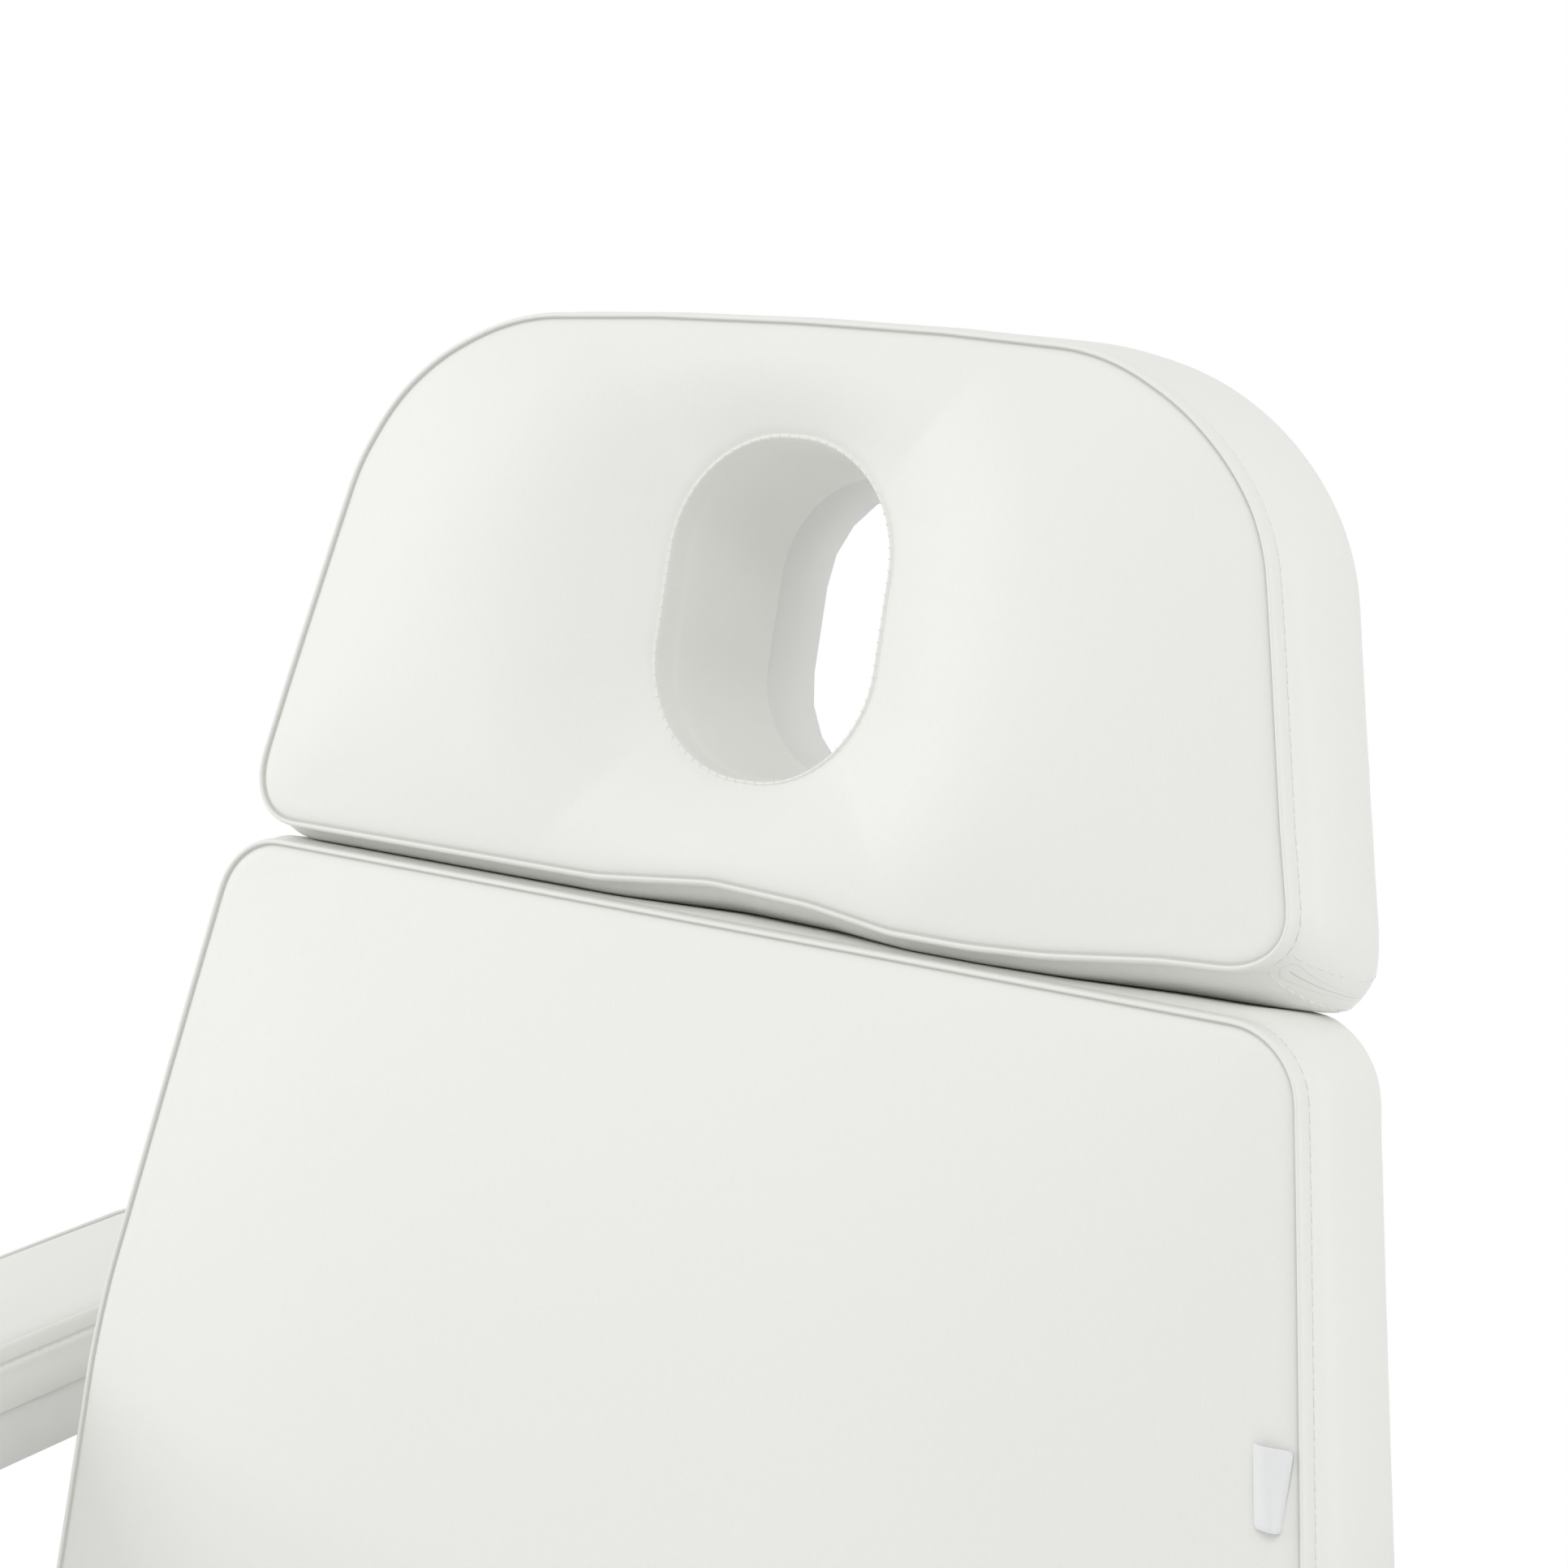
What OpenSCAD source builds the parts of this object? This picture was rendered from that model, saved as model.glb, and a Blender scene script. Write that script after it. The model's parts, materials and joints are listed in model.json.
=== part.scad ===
// Beauty treatment chair: four upholstered sections and two armrests on a hydraulic pedestal.
// +Z is up, the sitter faces -Y and has +X on the left hand side.
// The origin is the centre of the base's underside, on the lift and swivel axis.
// A section's own frame has X across, Y up its face and Z out of its face, with its hinge axis at 0.

/* [Posture] */
// Height of the seat's top seam above the floor with the lift down
seat_height = 590; // [570:1:640]
// Lean of the backrest from the vertical at rest
back_recline = 15; // [8:1:22]
// Fall of the leg rest below the level at rest
leg_drop = 60; // [50:1:62]

/* [Cushions] */
// Depth of a section's cushion from its front seam to its board
pad_depth = 90; // [80:1:100]
// How far a cushion's side band swells past its seams
pad_bulge = 9; // [4:1:10]
// How far a long edge draws in between two corners
side_draw = 2; // [0:0.5:4]
// Distance from the backrest's hinge axis out to the front seam of the cushions
pivot_depth = 20; // [16:1:26]
// Distance from the leg rest's hinge axis up to the top seam of the cushions
leg_pivot_depth = 118; // [114:1:124]
// Distance from a hinge axis to the end seam of each cushion beside it
hinge_gap = 22; // [20:1:30]
// Distance between the facing seams of the backrest and the headrest
seam_gap = 14; // [13:1:20]

/* [Backrest] */
// Full width of the backrest cushion
back_width = 618; // [580:1:640]
// Width of the backrest cushion at its shoulders
back_top_width = 530; // [480:1:560]
// Length of the backrest cushion
back_len = 500; // [470:1:560]
// Length over which the shoulders widen to the full width
back_flare = 231; // [200:1:280]
// Corner radius of the shoulders
back_corner = 30; // [20:1:40]
// Radius of the bend where the taper meets the straight side
flare_bend = 300; // [200:1:400]
// Height of the backrest's crown
back_crown = 14; // [8:1:20]

/* [Seat and leg rest] */
// Length of the seat cushion, front to back
seat_len = 480; // [450:1:520]
// Corner radius of the seat and of the upper end of the leg rest
seat_corner = 30; // [20:1:40]
// Height of the seat's crown
seat_crown = 18; // [8:1:24]
// Length of the leg rest cushion
leg_len = 460; // [430:1:470]
// Corner radius of the leg rest's foot end
foot_corner = 75; // [50:1:110]
// Height of the leg rest's crown
leg_crown = 14; // [8:1:20]

/* [Headrest] */
// Width of the headrest at its lower seam
head_width = 522; // [500:1:540]
// Width between the points where the sides would meet the top edge
head_top_width = 418; // [390:1:440]
// Length of the headrest cushion
head_len = 232; // [225:1:250]
// Radius of the large upper corners
head_shoulder = 105; // [80:1:120]
// Radius of the small lower corners
head_corner = 22; // [15:1:30]
// Swell of the headrest's band along its top edge
head_top_bulge = 11; // [6:1:13]
// Height of the ring of padding round the face hole
head_crown = 9; // [4:1:14]
// Width of the face hole at its rim
hole_width = 110; // [95:1:120]
// Height of the face hole at its rim
hole_height = 143; // [120:1:150]
// Length of the straight across the top and the bottom of the face hole
hole_flat = 6; // [2:1:14]
// Height of the face hole's centre above the lower seam
hole_rise = 117; // [112:1:122]
// How far the face hole's rim is drawn in behind the front seam
rim_dish = 12; // [4:1:18]
// Narrowing of the face hole on each side, from the rim to the board
hole_taper = 5; // [2:1:8]

/* [Boards] */
// Thickness of the plywood under each cushion
board_t = 18; // [12:1:21]
// Thickness of the shell behind the headrest's board
cover_t = 20; // [12:1:26]
// Setback of a board's edge from the cushion's seam
board_inset = 16; // [8:1:18]
// Setback of the headrest's board and shell from its side seams
head_board_inset = 28; // [16:1:32]

/* [Armrests] */
// Gap between the backrest's swollen side and an armrest's inner face
armrest_gap = 38; // [36:1:47]
// Width of an armrest
armrest_width = 88; // [80:1:100]
// Length of an armrest
armrest_len = 540; // [480:1:580]
// Height of an armrest's top seam above the seat's top seam
armrest_rise = 245; // [235:1:270]
// Depth of the armrest cushion below its top seam
armrest_depth = 34; // [28:1:40]
// Height of the armrest's crown
armrest_crown = 5; // [2:1:8]
// Swell of the armrest's side band
armrest_bulge = 2; // [1:0.5:3]
// Depth of the shell under an armrest cushion
shell_depth = 28; // [22:1:34]
// Length of an armrest behind its pivot
armrest_tail = 240; // [200:1:260]

/* [Frame] */
// Width of the steel tubes
tube_w = 30; // [25:1:35]
// Height of the seat frame's tubes
rail_h = 40; // [35:1:50]
// Thickness of the hinge plates
plate_t = 6; // [5:0.5:7]
// Radius of a hinge plate round its pivot
plate_r = 56; // [54:1:60]
// Distance of the seat's cross tubes from the lift axis
cross_y = 100; // [85:1:110]
// Distance of the long tubes of the backrest and leg rest from the middle plane
upright_x = 180; // [165:1:195]
// Radius of the headrest's steel rods
rod_r = 8; // [7:0.5:9]
// Distance of a headrest rod from the middle plane
rod_x = 110; // [100:1:118]
// Length of the headrest rods
rod_len = 405; // [390:1:410]

/* [Hinges] */
// Radius of the hinge pins
pin_r = 6; // [5:0.5:7]
// Radius of the clamp studs
stud_r = 5; // [4:0.5:6]
// Radius of the curved slots that the clamp studs run in
slot_r = 40; // [38:1:42]
// Length of a clamp lever from its stud
lever_len = 62; // [50:1:66]

/* [Pedestal] */
// Radius of the steel base plate
base_r = 325; // [300:1:350]
// Thickness of the base plate
base_t = 14; // [10:1:18]
// Radius of the pump housing
housing_r = 52; // [48:1:56]
// Gap between the pump's wiper ring and the turning head's collar with the lift down
lift_gap = 14; // [6:1:30]
// Radius of the lift piston
piston_r = 32; // [28:1:34]
// Radius of the circle of floor bolts
floor_bolt_circle_r = 270; // [240:1:275]
// Radius of the floor bolt holes
floor_hole_r = 5.5; // [4.5:0.5:7]
// Distance from the lift axis to the pedal's pivot
pedal_y = 112; // [108:1:120]
// Length of the foot pedal outside its pivot
pedal_len = 270; // [230:1:285]

/* [Hidden] */

// Colours of the finishes
white_leather = "#EDEEEA";
white_paint = "#E4E5E2";
bare_steel = "#B9BDC0";
bright_chrome = "#D5D9DC";
plywood = "#C9A878";
dark_rubber = "#2B2C2D";
grey_plastic = "#55585A";

// Clearances
run_fit = 0.05;
seat_fit = 0.1;
soft_gap = 0.3;
side_gap = 3;
plate_gap = 1;
face_gap = 0.5;
overrun = 1;

// Steps along a rounded corner and along the straight between two corners
arc_steps = 5;
side_steps = 4;
round_fn = 48;

// Heights of the seat's layers
pivot_z = seat_height - pivot_depth;
board_top = seat_height - pad_depth;
frame_top = board_top - board_t;
frame_bottom = frame_top - rail_h;

// Hinge axes, and the depths of a section's layers from its hinge axis
back_pivot_y = seat_len / 2 + hinge_gap;
leg_pivot_y = -back_pivot_y;
leg_pivot_z = seat_height - leg_pivot_depth;
board_front = pivot_depth - pad_depth;
tube_front = board_front - board_t;
tube_back = tube_front - tube_w;
leg_board_front = leg_pivot_depth - pad_depth;
leg_tube_front = leg_board_front - board_t;
leg_tube_back = leg_tube_front - tube_w;

// Layers across a hinge, outwards from the cushion's swollen side
cheek_x = back_width / 2 + pad_bulge + side_gap;
arm_x = cheek_x + plate_t + plate_gap;
arm_out = arm_x + plate_t;
stud_head_t = 2;
stud_head_r = 8;
lever_t = 14;
cap_t = 3;
lever_x = arm_out + face_gap;

// Hinge plates: reach along the section, toe beside the pivot, and the stud's bearing round the pivot
arm_reach = 190;
arm_toe = 25;
cheek_reach = 110;
cheek_toe = 5;
back_stud_angle = 200;
leg_stud_angle = 60;

// Frames behind the boards, measured from the hinge axis
cross_start = 150;
back_cross_end = 60;
leg_cross_end = 40;
guide_spacing = 165;
guide_w = 32;
guide_len = 44;

// Headrest and its carriage
back_end = hinge_gap + back_len;
head_start = back_end + seam_gap;
cover_back = tube_front - cover_t;
bar_r = 16;
bar_rise = 19;
bar_s = head_start + bar_rise;
web_t = 4;
web_gap = 4;
bar_h = cover_back - web_t - web_gap - bar_r;
bar_end = 20;
bar_half = rod_x + bar_end;
ear_t = 6;
ear_r = 14;
rod_sunk = 6;
hole_s = head_start + hole_rise;

// Armrests
armrest_inner = back_width / 2 + pad_bulge + armrest_gap;
shell_top = seat_height + armrest_rise - armrest_depth;
shell_bottom = shell_top - shell_depth;
bracket_t = 4;
bracket_drop = 22;
armrest_pivot_z = shell_bottom - bracket_drop;
post_back_gap = 5;
armrest_pivot_y = back_pivot_y - post_back_gap - tube_w / 2;
armrest_rear = armrest_pivot_y + armrest_tail;
post_x = armrest_inner + bracket_t + face_gap;
armrest_corner = 24;
shell_inset = 2;

// Fasteners
screw_r = 4;
screw_head_r = 7;
screw_head_t = 4;
screw_bite = 12;

// Pedestal
head_plate_w = 250;
head_plate_t = 8;
head_plate_bottom = frame_bottom - head_plate_t;
bolt_x = head_plate_w / 2 - screw_head_r * 3;
hub_len = 62;
hub_wall = 14;
hub_bottom = head_plate_bottom - hub_len;
washer_t = 6;
collar_t = 10;
flange_t = 10;
flange_r = 85;
flange_bolt_circle_r = 70;
flange_bolts = 6;
wiper_t = 8;
housing_top = hub_bottom - washer_t - collar_t - lift_gap - wiper_t;
barrel_r = 18;
barrel_y = 76;
barrel_len = 80;
barrel_bottom = 130;
plunger_r = 9;
plunger_len = 74;
pedal_z = 90;
lever_w = 24;
tip_r = 10;

// Outlines
// A corner is [x, y, radius]. Points run anticlockwise, with a short arc at each corner.
function unit(v) = v / norm(v);
function turn(a) = a - 360 * floor((a + 180) / 360);
function corner_arc(before, at, after) =
    let (p = [at[0], at[1]],
        u = unit([before[0], before[1]] - p),
        v = unit([after[0], after[1]] - p),
        half = acos(u * v) / 2,
        centre = p + unit(u + v) * at[2] / sin(half),
        first = p + u * at[2] / tan(half) - centre,
        last = p + v * at[2] / tan(half) - centre,
        start = atan2(first[1], first[0]),
        sweep = turn(atan2(last[1], last[0]) - start))
    [for (i = [0:arc_steps]) let (a = start + sweep * i / arc_steps) centre + at[2] * [cos(a), sin(a)]];
function outline(corners, draw = 0) =
    let (n = len(corners),
        arcs = [for (i = [0:n - 1]) corner_arc(corners[(i + n - 1) % n], corners[i], corners[(i + 1) % n])])
    [for (i = [0:n - 1]) let (from = arcs[i][arc_steps], to = arcs[(i + 1) % n][0], d = to - from)
        each concat(arcs[i], [for (k = [1:side_steps - 1]) let (u = k / side_steps)
            from + d * u + 4 * u * (1 - u) * draw * [-d[1], d[0]] / max(norm(d), draw + run_fit)])];
function outward(points, i) =
    let (n = len(points), d = points[(i + 1) % n] - points[(i + n - 1) % n])
    [d[1], -d[0]] / norm(d);
function grown(points, by) = [for (i = [0:len(points) - 1]) points[i] + by * outward(points, i)];
// A swell is [sides, lower end, upper end]
function swell_along(swell, n) = swell[0] * n[0] * n[0] + (n[1] > 0 ? swell[2] : swell[1]) * n[1] * n[1];
function swollen(points, swell, share) = [for (i = [0:len(points) - 1]) let (n = outward(points, i))
    points[i] + share * swell_along(swell, n) * n];
function mixed(a, b, share) = [for (i = [0:len(a) - 1]) a[i] * (1 - share) + b[i] * share];
function raised(points, h) = [for (p = points) [p[0], p[1], h]];
function mirrored_corners(right) = concat(right,
    [for (i = [len(right) - 1:-1:0]) let (c = right[i]) [-c[0], c[1], c[2]]]);

// Section outlines, in the section's own frame
back_corners = mirrored_corners([
    [back_width / 2, hinge_gap, seat_corner],
    [back_width / 2, back_end - back_flare, flare_bend],
    [back_top_width / 2, back_end, back_corner]]);
seat_corners = mirrored_corners([
    [back_width / 2, -seat_len / 2, seat_corner],
    [back_width / 2, seat_len / 2, seat_corner]]);
leg_corners = mirrored_corners([
    [back_width / 2, -hinge_gap - leg_len, foot_corner],
    [back_width / 2, -hinge_gap, seat_corner]]);
head_corners = mirrored_corners([
    [head_width / 2, head_start, head_corner],
    [head_top_width / 2, head_start + head_len, head_shoulder]]);
head_lower_inset = 4;
head_board_corners = mirrored_corners([
    [head_width / 2 - head_board_inset, head_start + head_lower_inset, head_corner],
    [head_top_width / 2 - head_board_inset, head_start + head_len - board_inset,
        head_shoulder - head_board_inset]]);
hole_corner = (hole_width - hole_flat) / 2;
function hole_corners(narrower) = mirrored_corners([
    [hole_width / 2 - narrower, hole_s - hole_height / 2 + narrower, hole_corner - narrower],
    [hole_width / 2 - narrower, hole_s + hole_height / 2 - narrower, hole_corner - narrower]]);

// Upholstery
facing_bulge = (seam_gap - plate_gap) / 2;
full_swell = [pad_bulge, pad_bulge, pad_bulge];
back_swell = [pad_bulge, pad_bulge, facing_bulge];
head_swell = [pad_bulge, facing_bulge, head_top_bulge];
armrest_swell = [armrest_bulge, armrest_bulge, armrest_bulge];
// Shares of the band's depth and of its swell, from the board up to the seam
band_depth_shares = [1, 0.8, 0.5, 0.2, 0];
band_swell_shares = [-1.2, 0.5, 1, 0.66, 0];
// Shares of the way in from the seam at which a crown has a ring of points
crown_in_shares = [0.05, 0.12, 0.24, 0.42, 0.66];
crown_power = 3;
panel_in_shares = [0.1, 0.24, 0.45, 0.66, 0.85, 1];
ring_crown_power = 0.8;
function band_rings(seam, top, depth, swell) = [for (i = [0:len(band_depth_shares) - 1])
    raised(swollen(seam, swell, band_swell_shares[i]), top - depth * band_depth_shares[i])];
function ring_faces(n, a, b) = [for (i = [0:n - 1]) let (j = (i + 1) % n)
    each [[a + i, b + i, b + j], [a + i, b + j, a + j]]];

module cushion(corners, top, depth, crown, swell, draw) {
    seam = outline(corners, draw);
    n = len(seam);
    middle = [0, (min([for (p = seam) p[1]]) + max([for (p = seam) p[1]])) / 2];
    crown_rings = [for (t = crown_in_shares)
        raised([for (p = seam) p * (1 - t) + middle * t], top + crown * (1 - pow(1 - t, crown_power)))];
    rings = concat(band_rings(seam, top, depth, swell), crown_rings);
    last = len(rings) - 1;
    points = concat([for (r = rings) each r], raised([middle], top - depth), raised([middle], top + crown));
    faces = concat(
        [for (k = [0:last - 1]) each ring_faces(n, k * n, (k + 1) * n)],
        [for (i = [0:n - 1]) [n * (last + 1), i, (i + 1) % n]],
        [for (i = [0:n - 1]) [n * (last + 1) + 1, n * last + (i + 1) % n, n * last + i]]);
    polyhedron(points, faces);
}

module pierced_cushion(corners, top, depth, crown, swell, draw) {
    seam = outline(corners, draw);
    rim = outline(hole_corners(0));
    throat = outline(hole_corners(hole_taper));
    n = len(seam);
    panel_rings = [for (t = panel_in_shares)
        raised(mixed(seam, rim, t), top + crown * sin(180 * pow(t, ring_crown_power)) - rim_dish * t * t)];
    rings = concat(band_rings(seam, top, depth, swell), panel_rings, [raised(throat, top - depth)]);
    count = len(rings);
    points = [for (r = rings) each r];
    faces = [for (k = [0:count - 1]) each ring_faces(n, k * n, ((k + 1) % count) * n)];
    polyhedron(points, faces);
}

module board(corners, top, thick) {
    translate([0, 0, top - thick]) linear_extrude(thick) polygon(grown(outline(corners), -board_inset));
}

module head_slab(top, thick) {
    translate([0, 0, top - thick]) linear_extrude(thick) polygon(outline(head_board_corners));
}

// Placing
module at_back() {
    translate([0, back_pivot_y, pivot_z]) rotate([90 - back_recline, 0, 0]) children();
}

module at_leg() {
    translate([0, leg_pivot_y, leg_pivot_z]) rotate([leg_drop, 0, 0]) children();
}

module both_sides() {
    children();
    mirror([1, 0, 0]) children();
}

module block(low, high) {
    translate(low) cube(high - low);
}

// A plate from x outwards, its shape drawn in Y and Z
module side_plate(x, thick) {
    translate([x, 0, 0]) rotate([90, 0, 90]) linear_extrude(thick) children();
}

module cross_rod(from, to, r, y, z) {
    translate([from, y, z]) rotate([0, 90, 0]) cylinder(h = to - from, r = r, $fn = round_fn);
}

module upright_rod(x, y, from, to, r) {
    translate([x, y, from]) cylinder(h = to - from, r = r, $fn = round_fn);
}

function polar(r, angle) = [r * cos(angle), r * sin(angle)];

// Hinges
// Share of a plate's radius at which its arm leaves the round part
waist_share = 0.7;

module pierced_plate(stud_angle) {
    difference() {
        children();
        circle(pin_r + run_fit, $fn = round_fn);
        translate(polar(slot_r, stud_angle)) circle(stud_r + run_fit, $fn = round_fn);
    }
}

module back_cheek_shape() {
    pierced_plate(back_stud_angle) union() {
        circle(plate_r, $fn = round_fn);
        polygon([
            [-plate_r, 0],
            [-cheek_reach, frame_top - pivot_z],
            [-cheek_reach, frame_bottom - pivot_z],
            [-cheek_toe, frame_bottom - pivot_z],
            [0, -plate_r],
            [0, 0]]);
    }
}

module leg_cheek_shape() {
    pierced_plate(leg_stud_angle) union() {
        circle(plate_r, $fn = round_fn);
        polygon([
            [0, plate_r * waist_share],
            [0, -plate_r * waist_share],
            [cheek_reach, frame_bottom - leg_pivot_z],
            [cheek_reach, frame_top - leg_pivot_z]]);
    }
}

// A curved slot, its round ends a little wider than the run between them
module slot_shape(from, to) {
    end_r = stud_r + soft_gap;
    slot_half = end_r - seat_fit;
    reach = 3 * slot_r;
    middle = (from + to) / 2;
    intersection() {
        difference() {
            circle(slot_r + slot_half, $fn = round_fn);
            circle(slot_r - slot_half, $fn = round_fn);
        }
        polygon([[0, 0], polar(reach, from), polar(reach, middle), polar(reach, to)]);
    }
    for (a = [from, to]) translate(polar(slot_r, a)) circle(end_r, $fn = round_fn);
}

module slotted_plate(slot_from, slot_to) {
    difference() {
        children();
        circle(pin_r + run_fit, $fn = round_fn);
        slot_shape(slot_from, slot_to);
    }
}

module back_arm_shape() {
    slotted_plate(back_stud_angle - (90 - back_recline), back_stud_angle) union() {
        circle(plate_r, $fn = round_fn);
        polygon([
            [plate_r, 0],
            [arm_reach, tube_front],
            [arm_reach, tube_back],
            [arm_toe, tube_back],
            [0, -plate_r],
            [0, 0]]);
    }
}

module leg_arm_shape() {
    slotted_plate(leg_stud_angle - leg_drop, leg_stud_angle) union() {
        circle(plate_r, $fn = round_fn);
        polygon([
            [0, plate_r * waist_share],
            [-arm_reach, leg_tube_front],
            [-arm_reach, leg_tube_back],
            [0, -plate_r * waist_share]]);
    }
}

module hinge_cheeks() {
    color(white_paint) both_sides() {
        translate([0, back_pivot_y, pivot_z]) side_plate(cheek_x, plate_t) back_cheek_shape();
        translate([0, leg_pivot_y, leg_pivot_z]) side_plate(cheek_x, plate_t) leg_cheek_shape();
    }
}

module hinge_pins() {
    head_x = arm_out + face_gap;
    color(bare_steel) both_sides() for (at = [[back_pivot_y, pivot_z], [leg_pivot_y, leg_pivot_z]]) {
        cross_rod(cheek_x, head_x + cap_t, pin_r, at[0], at[1]);
        cross_rod(head_x, head_x + cap_t, pin_r + stud_head_t * 2, at[0], at[1]);
    }
}

module clamp_stud(y, z) {
    hub_end = lever_x + lever_t + face_gap;
    cross_rod(cheek_x, hub_end + cap_t, stud_r, y, z);
    cross_rod(hub_end, hub_end + cap_t, stud_head_r, y, z);
}

back_stud = [back_pivot_y, pivot_z] + polar(slot_r, back_stud_angle);
leg_stud = [leg_pivot_y, leg_pivot_z] + polar(slot_r, leg_stud_angle);
swivel_stud_z = hub_bottom + hub_len / 2;
swivel_lever_x = piston_r + hub_wall + face_gap;
swivel_stud_bite = hub_wall / 2;

module clamp_studs() {
    color(bare_steel) {
        both_sides() {
            clamp_stud(back_stud[0], back_stud[1]);
            clamp_stud(leg_stud[0], leg_stud[1]);
        }
        cross_rod(swivel_lever_x - swivel_stud_bite, swivel_lever_x + lever_t + face_gap + cap_t,
            stud_r, 0, swivel_stud_z);
        cross_rod(swivel_lever_x + lever_t + face_gap, swivel_lever_x + lever_t + face_gap + cap_t,
            stud_head_r, 0, swivel_stud_z);
    }
}

// A lever whose arm points along +Y when angle is 0
module clamp_lever(x, at, angle) {
    hub_r = 11;
    arm_w = 9;
    grip_r = 8;
    arm_t = lever_t / 2;
    color(grey_plastic) translate([0, at[0], at[1]]) rotate([angle, 0, 0]) difference() {
        union() {
            cross_rod(x, x + lever_t, hub_r, 0, 0);
            block([x + arm_t, 0, -arm_w / 2], [x + lever_t, lever_len, arm_w / 2]);
            cross_rod(x + arm_t - stud_head_t, x + lever_t, grip_r, lever_len, 0);
        }
        cross_rod(x - overrun, x + lever_t + overrun, stud_r + run_fit, 0, 0);
    }
}

module back_lever_left() {
    clamp_lever(lever_x, back_stud, 180);
}

module back_lever_right() {
    mirror([1, 0, 0]) clamp_lever(lever_x, back_stud, 180);
}

module leg_lever_left() {
    clamp_lever(lever_x, leg_stud, 0);
}

module leg_lever_right() {
    mirror([1, 0, 0]) clamp_lever(lever_x, leg_stud, 0);
}

module swivel_lever() {
    clamp_lever(swivel_lever_x, [0, swivel_stud_z], 180);
}

// Pedestal
// Share of the base plate's thickness that its edge keeps
base_edge_share = 0.6;

module base_plate() {
    edge_run = 40;
    color(white_paint) difference() {
        rotate_extrude($fn = 96) polygon([
            [0, 0],
            [base_r, 0],
            [base_r, base_t * base_edge_share],
            [base_r - edge_run, base_t],
            [0, base_t]]);
        for (i = [0:3]) rotate([0, 0, 45 + 90 * i])
            upright_rod(floor_bolt_circle_r, 0, -overrun, base_t + overrun, floor_hole_r);
        for (i = [0:flange_bolts - 1]) rotate([0, 0, 30 + 60 * i])
            upright_rod(flange_bolt_circle_r, 0, base_t - screw_bite / 2, base_t + overrun,
                screw_r + seat_fit);
        for (x = [-1, 1])
            upright_rod(x * bracket_bolt_x, pedal_y, base_t - screw_bite / 2, base_t + overrun,
                screw_r + seat_fit);
    }
}

module base_rim() {
    rim_w = 6;
    color(dark_rubber) rotate_extrude($fn = 96)
        translate([base_r + seat_fit, 0]) square([rim_w, base_t * base_edge_share]);
}

module pump_housing() {
    floor_t = 12;
    color(white_paint) difference() {
        union() {
            upright_rod(0, 0, base_t, base_t + flange_t, flange_r);
            upright_rod(0, 0, base_t, housing_top, housing_r);
            upright_rod(0, barrel_y, barrel_bottom, barrel_bottom + barrel_len, barrel_r);
            block([-barrel_r / 2, 0, barrel_bottom],
                [barrel_r / 2, barrel_y, barrel_bottom + barrel_len]);
        }
        upright_rod(0, 0, base_t + flange_t + floor_t, housing_top + overrun, piston_r + run_fit);
        upright_rod(0, barrel_y, barrel_bottom - overrun, barrel_bottom + barrel_len - floor_t,
            plunger_r + run_fit);
        for (i = [0:flange_bolts - 1]) rotate([0, 0, 30 + 60 * i])
            upright_rod(flange_bolt_circle_r, 0, base_t - overrun, base_t + flange_t + overrun,
                screw_r + seat_fit);
    }
}

bracket_foot_t = 6;
bracket_foot_x = 44;
bracket_bolt_x = 32;

module pump_bolts() {
    color(bare_steel) {
        for (i = [0:flange_bolts - 1]) rotate([0, 0, 30 + 60 * i]) translate([flange_bolt_circle_r, 0, 0]) {
            upright_rod(0, 0, base_t - screw_bite / 2, base_t + flange_t + screw_head_t, screw_r);
            upright_rod(0, 0, base_t + flange_t, base_t + flange_t + screw_head_t, screw_head_r);
        }
        for (x = [-1, 1]) translate([x * bracket_bolt_x, pedal_y, 0]) {
            upright_rod(0, 0, base_t - screw_bite / 2, base_t + bracket_foot_t + screw_head_t, screw_r);
            upright_rod(0, 0, base_t + bracket_foot_t, base_t + bracket_foot_t + screw_head_t, screw_head_r);
        }
    }
}

module wiper_ring() {
    color(dark_rubber) translate([0, 0, housing_top]) rotate_extrude($fn = 96)
        translate([piston_r + soft_gap, 0]) square([housing_r - piston_r - hub_wall / 2, wiper_t]);
}

module lift_piston() {
    collar_top = hub_bottom - washer_t;
    tail = 46;
    color(bright_chrome) union() {
        upright_rod(0, 0, base_t + tail, head_plate_bottom - cap_t, piston_r);
        upright_rod(0, 0, collar_top - collar_t, collar_top, piston_r + hub_wall);
    }
}

module thrust_washer() {
    color(grey_plastic) difference() {
        upright_rod(0, 0, hub_bottom - washer_t, hub_bottom, piston_r + hub_wall);
        upright_rod(0, 0, hub_bottom - washer_t - overrun, hub_bottom + overrun, piston_r + seat_fit);
    }
}

// Foot pump
module pedal_bracket() {
    ear_x = lever_w / 2 + face_gap;
    top_z = pedal_z + ear_r;
    foot_half = ear_r - face_gap;
    color(white_paint) {
        difference() {
            union() {
                block([-bracket_foot_x, pedal_y - foot_half, base_t],
                    [bracket_foot_x, pedal_y + foot_half, base_t + bracket_foot_t]);
                both_sides() {
                    block([ear_x, pedal_y - foot_half, base_t],
                        [ear_x + ear_t, pedal_y + foot_half, pedal_z]);
                    cross_rod(ear_x, ear_x + ear_t, foot_half, pedal_y, pedal_z);
                }
            }
            cross_rod(-bracket_foot_x, bracket_foot_x, pin_r + run_fit, pedal_y, pedal_z);
            for (x = [-1, 1])
                upright_rod(x * bracket_bolt_x, pedal_y, base_t - overrun, top_z, screw_r + seat_fit);
        }
    }
}

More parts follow.
